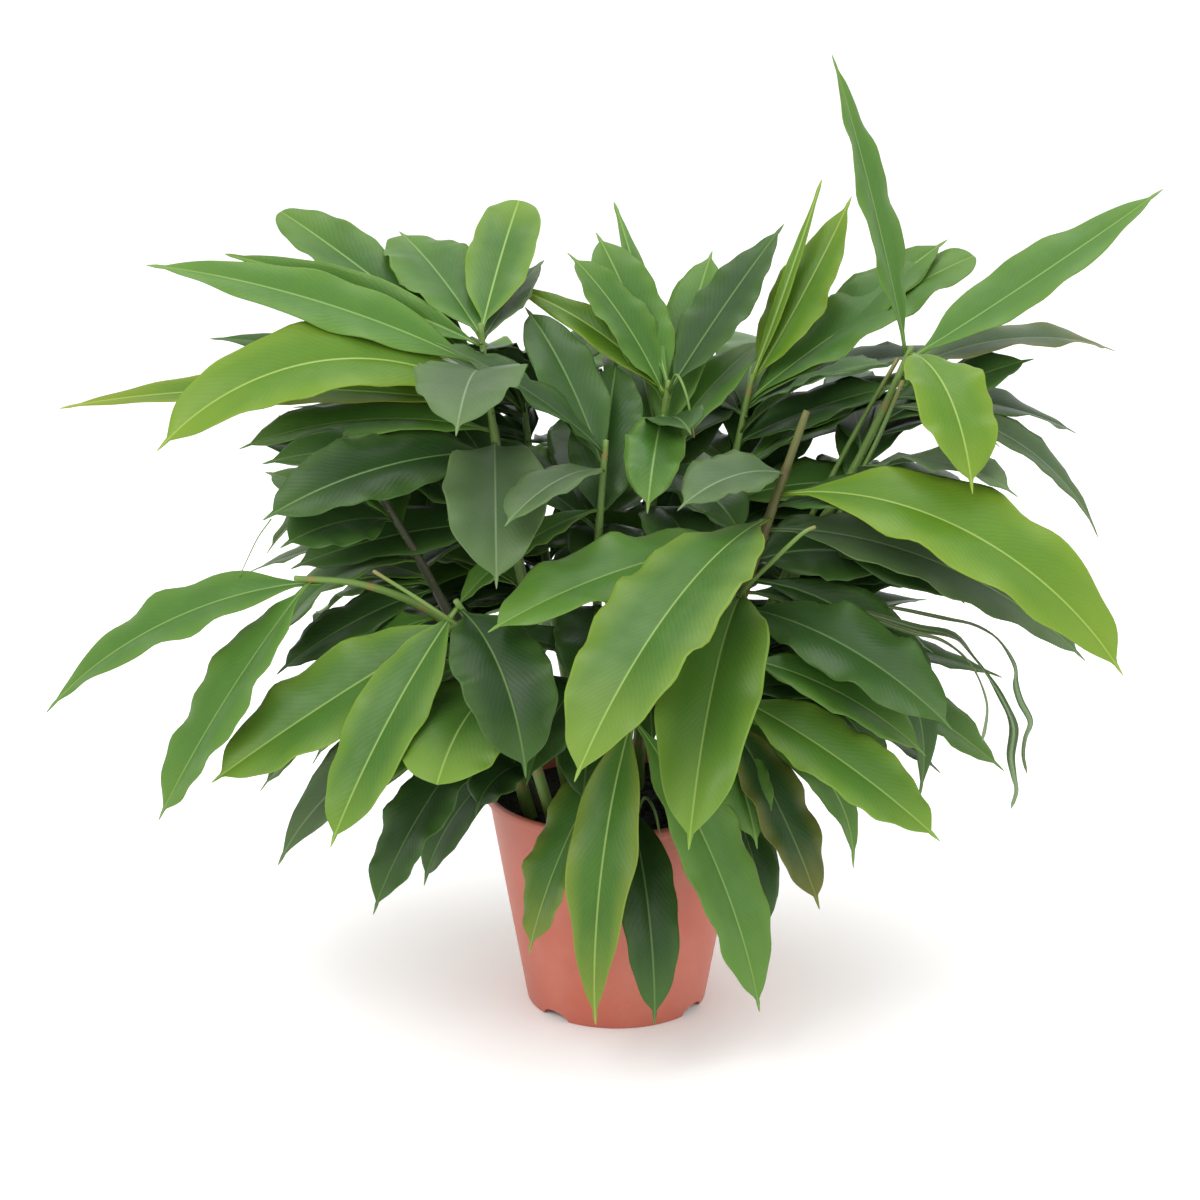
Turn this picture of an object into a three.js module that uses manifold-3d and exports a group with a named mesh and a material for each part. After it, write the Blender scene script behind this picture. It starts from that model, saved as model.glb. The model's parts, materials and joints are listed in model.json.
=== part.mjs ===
// Potted cardamom plant: a plastic nursery pot, its soil, the leafy canes and their leaves.
// Millimetres, +Z up. The origin is the middle of the pot's foot, +X is the plant's right and -Y its front.

import * as THREE from "three";
import { mergeVertices } from "three/addons/utils/BufferGeometryUtils.js";
import Module from "manifold-3d";

const wasm = await Module();
wasm.setup();

// Pot: an injection-moulded 19 cm nursery pot with a straight taper and a small rolled lip.
const POT_HEIGHT = 162;
const FOOT_RADIUS = 65;
const NECK_RADIUS = 92;
const LIP_RADIUS = 95;
const LIP_DEPTH = 7;
const POT_WALL = 2;
const BASE_LIFT = 7;
const LIP_EASE = 1.5;
const LIP_LAND = 3.5;
const LIP_STEP = 1;
const POT_SIDES = 48;

// Drainage: an arched notch in the foot ring and a hole in the base beside each notch.
const NOTCH_HEADINGS = [-133, -33, 47, 147];
const NOTCH_WIDTH = 24;
const NOTCH_HEIGHT = 6;
const NOTCH_CUT = 16;
const NOTCH_SIDES = 20;
const DRAIN_RADIUS = 5;
const DRAIN_OFFSET = 46;
const DRAIN_SIDES = 16;

// Soil: fills the pot to a little below the rim.
const SOIL_TOP = 146;
const SOIL_MOUND = 3;
const SOIL_SHOULDER = 50;
const FIT_GAP = 0.35;
const SOIL_INSET = POT_WALL + 1.5 * FIT_GAP;
const CANE_BORE_GAP = 1.6 * FIT_GAP;
const SOIL_SIDES = 32;

// Canes and leaves.
const CANE_ROOT_DEPTH = 22;
const CANE_SIDES = 6;
const CANE_RINGS = 9;
const CANE_END = 0.5;
const CANE_TOP_SHARE = 0.99;
const LEAF_RINGS = 9;
const LEAF_SIDES = 4;
const BLADE_THICK = 1.4;
const BLADE_FOLD = 0.16;
const STALK_SHARE = 0.1;
const STALK_HALF = 2.2;
const BLADE_SKEW = 0.9;
const BLADE_FULLNESS = 0.75;
const LEAF_CLEARANCE = 0.4;

// Where a leaf's line is steered, as shares of the way to its tip and of its arch.
const STEER_NEAR = 0.3;
const STEER_FAR = 0.72;
const LIFT_NEAR = 1.3;
const LIFT_FAR = 1.2;

const ROUGHNESS = { pot: 0.5, soil: 0.95, cane: 0.55, leaf: 0.4 };

const COLOURS = {
  pot: "#c0604c",
  soil: "#241f1c",
  cane: "#55702f",
  dryCane: "#6f6a3c",
  young: "#86b545",
  fresh: "#5f9440",
  green: "#4a7a38",
  dark: "#33562c",
  grey: "#66795a",
};

// Each shoot is one cane and its leaves. The stem's points run from the soil to the cane's top, and
// radii are at its foot and top. A leaf has the share of the cane's height that it leaves at, where
// its tip is, its blade's width, how far it arches over the straight line from base to tip, how far
// its face leans to the right as seen from its base, in degrees, and its colour.
const SHOOTS = [
  {
    name: "high_left",
    stem: [[-28, 12], [-64, 5, 300], [-84, 0, 410], [-94, 0, 498]],
    radii: [6, 2.2],
    leaves: [
      [0.98, [-156, 118, 540], 70, 6, 0, "green"],
      [0.95, [-240, 115, 555], 50, 4, -20, "green"],
      [0.99, [-70, 120, 562], 46, 4, 6, "fresh"],
      [0.92, [-320, -5, 540], 46, 12, -40, "green"],
      [0.9, [-310, -65, 425], 60, 46, -38, "young"],
      [0.85, [-388, 15, 435], 38, 14, -25, "young"],
      [0.9, [-105, -140, 455], 74, 22, 0, "grey"],
      [0.76, [-235, -110, 390], 56, 14, -34, "dark"],
      [0.78, [-80, -135, 350], 70, 22, 0, "grey"],
    ],
  },
  {
    name: "mid_left",
    stem: [[-48, -8], [-100, -25, 260], [-135, -30, 335], [-185, -45, 430]],
    radii: [5.5, 2.2],
    leaves: [
      [0.8, [-225, -100, 368], 48, 8, -30, "dark"],
    ],
  },
  {
    name: "low_left",
    stem: [[-55, -22], [-105, -60, 290], [-165, -92, 338], [-215, -110, 350]],
    radii: [5.5, 2],
    leaves: [
      [0.97, [-310, -130, 185], 54, 6, -24, "green"],
      [0.95, [-388, -95, 250], 48, 22, -30, "green"],
    ],
  },
  {
    name: "front_left",
    stem: [[-38, -42], [-65, -75, 230], [-90, -100, 300], [-108, -112, 335]],
    radii: [5, 2.2],
    leaves: [
      [0.93, [-272, -140, 216], 62, 4, -38, "fresh"],
      [0.98, [-189, -188, 189], 52, 8, -18, "fresh"],
      [0.76, [-118, -195, 236], 80, 18, 0, "fresh"],
      [0.97, [-60, -197, 241], 64, 24, 10, "dark"],
      [0.6, [-165, -150, 125], 50, 14, -10, "dark"],
    ],
  },
  {
    name: "centre",
    stem: [[-8, -14], [-12, -16, 240], [-14, -18, 330], [-8, -16, 420]],
    radii: [5.5, 2.2],
    leaves: [
      [0.94, [-65, 70, 495], 46, 10, -10, "dark"],
      [0.8, [0, 55, 462], 52, 8, 0, "dark"],
    ],
  },
  {
    name: "centre_high",
    stem: [[14, 24], [20, 28, 270], [26, 32, 370], [36, 34, 450]],
    radii: [5.5, 2.2],
    leaves: [
      [0.98, [120, 120, 545], 48, 3, 10, "dark"],
      [0.95, [-15, 115, 540], 48, 8, -8, "green"],
      [0.92, [-35, 80, 532], 44, 8, -10, "green"],
    ],
  },
  {
    name: "high_back",
    stem: [[34, 38], [62, 48, 280], [82, 55, 380], [96, 60, 448]],
    radii: [5.5, 2.2],
    leaves: [
      [0.99, [168, 120, 565], 48, -3, 12, "young"],
      [0.95, [258, 130, 520], 54, 8, 18, "green"],
      [0.9, [120, 290, 410], 60, 34, 0, "green"],
      [0.8, [285, 235, 350], 60, 30, 0, "dark"],
    ],
  },
  {
    name: "cut_top",
    stem: [[44, -10], [62, -18, 230], [98, -20, 345], [130, -12, 440]],
    radii: [8, 2.6],
    leaves: [
      [0.76, [-28, -285, 272], 82, 30, 0, "fresh"],
      [0.7, [-85, -165, 330], 64, 14, -14, "green"],
      [0.55, [45, -225, 202], 68, 20, 0, "fresh"],
      [0.82, [335, -135, 290], 74, 42, 26, "young"],
      [0.74, [322, -60, 275], 62, 26, 24, "grey"],
      [0.56, [222, -145, 255], 60, 16, 24, "dark"],
    ],
  },
  {
    name: "high_right",
    stem: [[55, 18], [110, 22, 290], [165, 26, 385], [205, 32, 475]],
    radii: [6.5, 2.2],
    leaves: [
      [0.98, [382, 75, 578], 54, -2, 22, "green"],
      [0.99, [148, 70, 672], 42, 4, 0, "green"],
      [0.99, [238, -75, 398], 56, 26, 0, "young"],
      [0.95, [362, 120, 452], 44, 18, 10, "grey"],
      [0.9, [332, 90, 398], 46, 10, 12, "dark"],
    ],
  },
  {
    name: "low_right",
    stem: [[48, -36], [65, -62, 220], [82, -80, 275], [96, -90, 312]],
    radii: [5, 2.2],
    leaves: [
      [0.7, [215, -155, 180], 54, 8, 26, "fresh"],
      [0.62, [138, -125, 118], 44, 8, 14, "dark"],
    ],
  },
  {
    name: "front",
    stem: [[4, -52], [6, -72, 195], [8, -88, 230], [12, -98, 258]],
    radii: [4.5, 2],
    leaves: [
      [0.8, [-60, -155, 98], 48, 14, 0, "green"],
      [0.95, [-15, -175, 55], 48, 24, 0, "fresh"],
      [0.4, [25, -160, 48], 40, 30, 0, "dark"],
      [0.9, [96, -165, 60], 58, 18, 8, "green"],
    ],
  },
  {
    name: "back",
    stem: [[-18, 48], [-45, 90, 260], [-60, 120, 350], [-70, 140, 420]],
    radii: [6, 2.2],
    leaves: [
      [0.98, [-150, 285, 370], 60, 40, 0, "green"],
      [0.95, [15, 290, 300], 60, 40, 0, "dark"],
      [0.85, [-270, 215, 270], 60, 34, 0, "green"],
    ],
  },
];

const UP = new THREE.Vector3(0, 0, 1);

function material(colour, roughness) {
  return new THREE.MeshStandardMaterial({ color: colour, roughness, metalness: 0 });
}

function degrees(angle) {
  return THREE.MathUtils.degToRad(angle);
}

// A geometry as a solid that can be joined and cut: only positions, with shared corners merged.
function toSolid(geometry) {
  const bare = geometry.clone();
  bare.deleteAttribute("normal");
  bare.deleteAttribute("uv");
  const merged = mergeVertices(bare, 1e-4);
  return new wasm.Manifold(new wasm.Mesh({
    numProp: 3,
    vertProperties: new Float32Array(merged.attributes.position.array),
    triVerts: new Uint32Array(merged.index.array),
  }));
}

function toGeometry(solid) {
  const mesh = solid.getMesh();
  const geometry = new THREE.BufferGeometry();
  geometry.setAttribute("position", new THREE.BufferAttribute(mesh.vertProperties, 3));
  geometry.setIndex(new THREE.BufferAttribute(mesh.triVerts, 1));
  geometry.computeVertexNormals();
  return geometry;
}

// A body turned about Z from a closed outline of [radius, height] points.
function turned(outline, sides) {
  const points = outline.map(([radius, height]) => new THREE.Vector2(radius, height));
  return new THREE.LatheGeometry(points, sides).rotateX(Math.PI / 2);
}

function outerRadius(height) {
  return THREE.MathUtils.mapLinear(height, 0, POT_HEIGHT - LIP_DEPTH, FOOT_RADIUS, NECK_RADIUS);
}

// The pot is one moulding: foot ring, raised base, tapered wall and lip, with the notches and the
// drain holes cut out of it.
function makePot() {
  const lipFoot = POT_HEIGHT - LIP_DEPTH;
  const floor = BASE_LIFT + POT_WALL;
  const shell = turned([
    [0, BASE_LIFT],
    [outerRadius(BASE_LIFT) - POT_WALL, BASE_LIFT],
    [FOOT_RADIUS - POT_WALL, 0],
    [FOOT_RADIUS, 0],
    [NECK_RADIUS, lipFoot],
    [LIP_RADIUS, lipFoot + LIP_STEP],
    [LIP_RADIUS, POT_HEIGHT - LIP_EASE],
    [LIP_RADIUS - LIP_EASE, POT_HEIGHT],
    [LIP_RADIUS - LIP_LAND, POT_HEIGHT],
    [NECK_RADIUS - POT_WALL, lipFoot - LIP_STEP],
    [outerRadius(floor) - POT_WALL, floor],
    [0, floor],
  ], POT_SIDES);
  let pot = toSolid(shell);
  for (const heading of NOTCH_HEADINGS) {
    const notch = new THREE.CylinderGeometry(NOTCH_WIDTH / 2, NOTCH_WIDTH / 2, NOTCH_CUT, NOTCH_SIDES)
      .rotateZ(Math.PI / 2)
      .scale(1, 1, NOTCH_HEIGHT / (NOTCH_WIDTH / 2))
      .translate(FOOT_RADIUS, 0, 0)
      .rotateZ(degrees(heading));
    const drain = new THREE.CylinderGeometry(DRAIN_RADIUS, DRAIN_RADIUS, 4 * POT_WALL, DRAIN_SIDES)
      .rotateX(Math.PI / 2)
      .translate(DRAIN_OFFSET, 0, BASE_LIFT + POT_WALL / 2)
      .rotateZ(degrees(heading));
    pot = pot.subtract(toSolid(notch)).subtract(toSolid(drain));
  }
  return toGeometry(pot);
}

// A sphere's points moved onto a limb: its poles are the limb's two ends, its rings are the limb's
// sections, and place(share, side, lift) gives where a point of a section goes.
function limb(sides, rings, place) {
  const geometry = new THREE.SphereGeometry(1, sides, rings);
  const position = geometry.attributes.position;
  for (let i = 0; i < position.count; i += 1) {
    const x = position.getX(i);
    const z = position.getZ(i);
    const share = Math.acos(THREE.MathUtils.clamp(position.getY(i), -1, 1)) / Math.PI;
    const reach = Math.hypot(x, z);
    const onAxis = reach < 1e-6;
    const point = place(share, onAxis ? 0 : x / reach, onAxis ? 0 : z / reach);
    position.setXYZ(i, point.x, point.y, point.z);
  }
  geometry.computeVertexNormals();
  return geometry;
}

function caneCurve(stem) {
  const [foot, ...rest] = stem;
  const root = new THREE.Vector3(foot[0], foot[1], SOIL_TOP - CANE_ROOT_DEPTH);
  return new THREE.CatmullRomCurve3([root, ...rest.map((p) => new THREE.Vector3(...p))], false, "centripetal");
}

// A cane: round, thinner to the top, with short blunt ends.
function makeCane(curve, [footRadius, topRadius], extra = 0) {
  const endShare = 1 / CANE_RINGS;
  return limb(CANE_SIDES, CANE_RINGS, (share, side, lift) => {
    const along = THREE.MathUtils.clamp((share - endShare) / (1 - 2 * endShare), 0, 1);
    const tangent = curve.getTangentAt(along);
    const across = new THREE.Vector3(0, 1, 0).cross(tangent).normalize();
    const outward = tangent.clone().cross(across);
    const radius = THREE.MathUtils.lerp(footRadius, topRadius, along) + extra;
    const past = (share - endShare - along * (1 - 2 * endShare)) / endShare;
    return curve.getPointAt(along)
      .addScaledVector(tangent, past * radius * CANE_END)
      .addScaledVector(across, side * radius)
      .addScaledVector(outward, lift * radius);
  });
}

// The blade's half width along the leaf: a slim stalk, then an oblong blade with a drip tip.
function halfWidth(share, width) {
  const along = (share - STALK_SHARE) / (1 - STALK_SHARE);
  if (along <= 0) return STALK_HALF;
  const fill = Math.sin(Math.PI * along ** BLADE_SKEW) ** BLADE_FULLNESS;
  return STALK_HALF + (width / 2 - STALK_HALF) * fill;
}

// The leaf's middle line and the directions of its face, from where it leaves the cane to its tip.
function leafLine(base, tip, arch) {
  const chord = tip.clone().sub(base);
  const length = chord.length();
  const rise = UP.clone().addScaledVector(chord, -UP.dot(chord) / length ** 2).normalize();
  const near = base.clone().addScaledVector(chord, STEER_NEAR).addScaledVector(rise, arch * LIFT_NEAR);
  const far = base.clone().addScaledVector(chord, STEER_FAR).addScaledVector(rise, arch * LIFT_FAR);
  return { curve: new THREE.CubicBezierCurve3(base, near, far, tip), rise };
}

function makeLeaf(base, tip, width, arch, roll) {
  const { curve, rise } = leafLine(base, tip, arch);
  const turn = degrees(roll);
  return limb(LEAF_SIDES, LEAF_RINGS, (share, side, lift) => {
    const tangent = curve.getTangent(share);
    const flat = rise.clone().addScaledVector(tangent, -rise.dot(tangent)).normalize();
    const right = tangent.clone().cross(flat);
    const face = flat.clone().multiplyScalar(Math.cos(turn)).addScaledVector(right, Math.sin(turn));
    const across = face.clone().cross(tangent);
    const half = halfWidth(share, width);
    return curve.getPoint(share)
      .addScaledVector(across, side * half)
      .addScaledVector(face, lift * BLADE_THICK / 2 + Math.abs(side) * half * BLADE_FOLD);
  });
}

// Where a leaf leaves its cane: on the cane's skin, on the side that faces the leaf's tip.
function leafBase(shoot, at, tip) {
  const centre = shoot.curve.getPointAt(at);
  const tangent = shoot.curve.getTangentAt(at);
  const toward = tip.clone().sub(centre);
  toward.addScaledVector(tangent, -toward.dot(tangent)).normalize();
  const radius = THREE.MathUtils.lerp(shoot.radii[0], shoot.radii[1], at);
  return centre.addScaledVector(toward, radius + LEAF_CLEARANCE);
}

// Small changes to a leaf, mildest first, tried until it touches nothing already placed: its foot
// slides along the cane, it arches more or less, and its tip moves.
const SLIDES = [0, -0.03, 0.02, -0.06, -0.1, 0.05];
const BENDS = [0, 8, -8, 16];
const TIP_TURNS = 8;
const TIP_STEP = 6;
const TIP_REACH = 42;

function* tipMoves() {
  for (let radius = 0; radius <= TIP_REACH; radius += TIP_STEP) {
    for (let turn = 0; turn < (radius ? TIP_TURNS : 1); turn += 1) {
      const angle = (turn * 2 * Math.PI) / TIP_TURNS;
      for (const lift of [0, TIP_STEP, -TIP_STEP, 2 * TIP_STEP]) {
        yield new THREE.Vector3(radius * Math.cos(angle), radius * Math.sin(angle), lift);
      }
    }
  }
}

function boxesMeet(a, b) {
  return [0, 1, 2].every((i) => a.min[i] <= b.max[i] && b.min[i] <= a.max[i]);
}

function isClear(solid, placed) {
  const box = solid.boundingBox();
  return placed.every((other) => !boxesMeet(box, other.box) || solid.intersect(other.solid).isEmpty());
}

function remember(placed, geometry) {
  const solid = toSolid(geometry);
  placed.push({ solid, box: solid.boundingBox() });
}

function settledLeaf(shoot, [at, tipPlace, width, arch, roll], placed) {
  for (const move of tipMoves()) {
    const tip = new THREE.Vector3(...tipPlace).add(move);
    for (const bend of BENDS) {
      for (const slide of SLIDES) {
        const base = leafBase(shoot, Math.min(at + slide, CANE_TOP_SHARE), tip);
        const geometry = makeLeaf(base, tip, width, arch + bend, roll);
        if (isClear(toSolid(geometry), placed)) return geometry;
      }
    }
  }
  throw new Error(`no clear place for a leaf of ${shoot.name} at ${at}`);
}

const plant = new THREE.Group();

function addPiece(name, geometry, finish) {
  const mesh = new THREE.Mesh(geometry, finish);
  mesh.name = name;
  plant.add(mesh);
}

const shoots = SHOOTS.map((shoot) => ({ ...shoot, curve: caneCurve(shoot.stem) }));
const placed = [];

const pot = makePot();
addPiece("pot", pot, material(COLOURS.pot, ROUGHNESS.pot));
remember(placed, pot);

const soilFoot = BASE_LIFT + POT_WALL + FIT_GAP;
let soil = toSolid(turned([
  [0, soilFoot],
  [outerRadius(soilFoot) - SOIL_INSET, soilFoot],
  [outerRadius(SOIL_TOP) - SOIL_INSET, SOIL_TOP],
  [SOIL_SHOULDER, SOIL_TOP + SOIL_MOUND / 2],
  [0, SOIL_TOP + SOIL_MOUND],
], SOIL_SIDES));
for (const shoot of shoots) {
  soil = soil.subtract(toSolid(makeCane(shoot.curve, shoot.radii, CANE_BORE_GAP)));
}
const soilGeometry = toGeometry(soil);
addPiece("soil", soilGeometry, material(COLOURS.soil, ROUGHNESS.soil));
remember(placed, soilGeometry);

for (const shoot of shoots) {
  const cane = makeCane(shoot.curve, shoot.radii);
  const colour = shoot.name === "cut_top" ? COLOURS.dryCane : COLOURS.cane;
  addPiece(`cane_${shoot.name}`, cane, material(colour, ROUGHNESS.cane));
  remember(placed, cane);
}

for (const shoot of shoots) {
  shoot.leaves.forEach((leaf, index) => {
    const geometry = settledLeaf(shoot, leaf, placed);
    addPiece(`leaf_${shoot.name}_${index + 1}`, geometry, material(COLOURS[leaf[5]], ROUGHNESS.leaf));
    remember(placed, geometry);
  });
}

export default plant;
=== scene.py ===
"""Potted cardamom plant: leaves, canes, soil and nursery pot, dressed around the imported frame.

A leaf's blade is laid over its solid's rings and a cane over its own, and the pot and soil are turned
to the sizes of their solids. Lengths are metres unless a name or note says otherwise.
"""

import json
import logging
import math
import random
from dataclasses import dataclass, field
from enum import Enum
from functools import partial
from typing import Any, Callable

import bmesh
import bpy
from bmesh.types import BMesh, BMVert
from bpy.types import Material, Node, NodeSocket, NodeTree, Object
from mathutils import Matrix, Vector, noise
from mathutils.bvhtree import BVHTree


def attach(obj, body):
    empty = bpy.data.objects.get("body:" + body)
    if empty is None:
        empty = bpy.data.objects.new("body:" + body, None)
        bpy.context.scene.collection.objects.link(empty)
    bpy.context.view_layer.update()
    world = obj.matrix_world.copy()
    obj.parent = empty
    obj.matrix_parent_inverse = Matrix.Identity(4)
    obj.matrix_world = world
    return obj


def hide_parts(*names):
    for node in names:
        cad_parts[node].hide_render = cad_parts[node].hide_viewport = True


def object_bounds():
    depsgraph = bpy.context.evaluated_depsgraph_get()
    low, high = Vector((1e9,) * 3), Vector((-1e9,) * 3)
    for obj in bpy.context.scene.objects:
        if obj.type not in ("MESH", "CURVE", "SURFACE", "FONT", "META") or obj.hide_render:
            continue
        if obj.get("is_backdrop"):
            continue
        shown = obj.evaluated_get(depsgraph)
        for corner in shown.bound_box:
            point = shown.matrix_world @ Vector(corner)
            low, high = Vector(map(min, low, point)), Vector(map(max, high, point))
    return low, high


LOG = logging.getLogger("cardamom")
MM = 0.001
MERGE = 0.02 * MM
BODY = "root"
UP = Vector((0.0, 0.0, 1.0))
FRONT = Vector((0.0, -1.0, 0.25))
Pair = tuple[float, float]
Point = tuple[float, float, float]

# Where a leaf's line is steered, as shares of the way to its tip and of its arch.
STEER_NEAR, STEER_FAR, LIFT_NEAR, LIFT_FAR = 0.3, 0.72, 1.3, 1.2

# The node kinds and settings that the finishes share.
MATH, MIX, RAMP, NOISE = "ShaderNodeMath", "ShaderNodeMix", "ShaderNodeMapRange", "ShaderNodeTexNoise"
UV_MAP, PARTS = "ShaderNodeUVMap", "ShaderNodeSeparateXYZ"
BUMP, ATTRIBUTE = "ShaderNodeBump", "ShaderNodeAttribute"
COLOURS, EASED, LAMINA = {"data_type": "RGBA"}, {"interpolation_type": "SMOOTHSTEP"}, {"uv_map": "Lamina"}
ABSOLUTE, PINGPONG = {"operation": "ABSOLUTE"}, {"operation": "PINGPONG"}
SCALE_ADD = {"operation": "MULTIPLY_ADD"}

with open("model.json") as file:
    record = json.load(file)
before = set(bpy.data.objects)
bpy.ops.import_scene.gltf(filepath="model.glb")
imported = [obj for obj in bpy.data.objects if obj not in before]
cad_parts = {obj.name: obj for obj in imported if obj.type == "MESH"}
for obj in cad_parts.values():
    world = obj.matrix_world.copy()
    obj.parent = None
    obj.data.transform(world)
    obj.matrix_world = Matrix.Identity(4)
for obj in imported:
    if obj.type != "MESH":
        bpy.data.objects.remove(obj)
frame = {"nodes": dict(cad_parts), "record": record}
CAD_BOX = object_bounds()


class Tone(Enum):
    """The ages that a leaf of this plant shows, and a grey-green painted sheen for top-lit leaves."""

    YOUNG = "leaf_young"
    FRESH = "leaf_fresh"
    GREEN = "leaf_green"
    DARK = "leaf_dark"
    PAINTED_SHEEN = "leaf_sheen"


class TipForm(Enum):
    """How a leaf ends: rounded, rounded with a drip tip, or drawn out long."""

    BLUNT = "blunt"
    DRIP = "drip"
    LONG = "long"


def linear(hex_code: str) -> tuple[float, float, float, float]:
    """Turns an sRGB hex colour into a linear one.

    Args:
        hex_code: The colour as "#rrggbb".

    Returns:
        Red, green, blue and alpha, linear.
    """
    shares = [int(hex_code[i : i + 2], 16) / 255 for i in (1, 3, 5)]
    return (*(s / 12.92 if s <= 0.04045 else ((s + 0.055) / 1.055) ** 2.4 for s in shares), 1.0)


def feed(node: Node, **inputs: Any) -> None:
    """Sets or links a node's inputs.

    Args:
        node: The node.
        inputs: Input sockets by name, or by "i" and number. Each holds a value, an output socket, or a
            node, which gives its first output in use.
    """
    for key, value in inputs.items():
        number = key[1:]
        socket = node.inputs[int(number)] if number.isdigit() else node.inputs[key.replace("_", " ")]
        if isinstance(value, Node):
            value = next(output for output in value.outputs if output.enabled)
        if isinstance(value, NodeSocket):
            node.id_data.links.new(value, socket)
        else:
            socket.default_value = value


def add_node(tree: NodeTree, kind: str, settings: dict[str, Any] | None = None, **inputs: Any) -> Node:
    """Adds a node with its settings and inputs.

    Args:
        tree: The material's node tree.
        kind: The node's type name.
        settings: The node's own properties, such as its operation.
        inputs: Its inputs, as feed takes them.

    Returns:
        The new node.
    """
    node = tree.nodes.new(kind)
    for key, value in (settings or {}).items():
        setattr(node, key, value)
    feed(node, **inputs)
    return node


def new_material(name: str) -> tuple[Material, Node, Callable[..., Node]]:
    """Makes an empty material.

    Args:
        name: The material's name.

    Returns:
        The material, its Principled node, and add_node for its tree.
    """
    material = bpy.data.materials.new(name)
    material.use_nodes = True
    tree = material.node_tree
    tree.nodes.clear()
    shader = add_node(tree, "ShaderNodeBsdfPrincipled")
    add_node(tree, "ShaderNodeOutputMaterial", Surface=shader)
    return material, shader, partial(add_node, tree)


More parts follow.
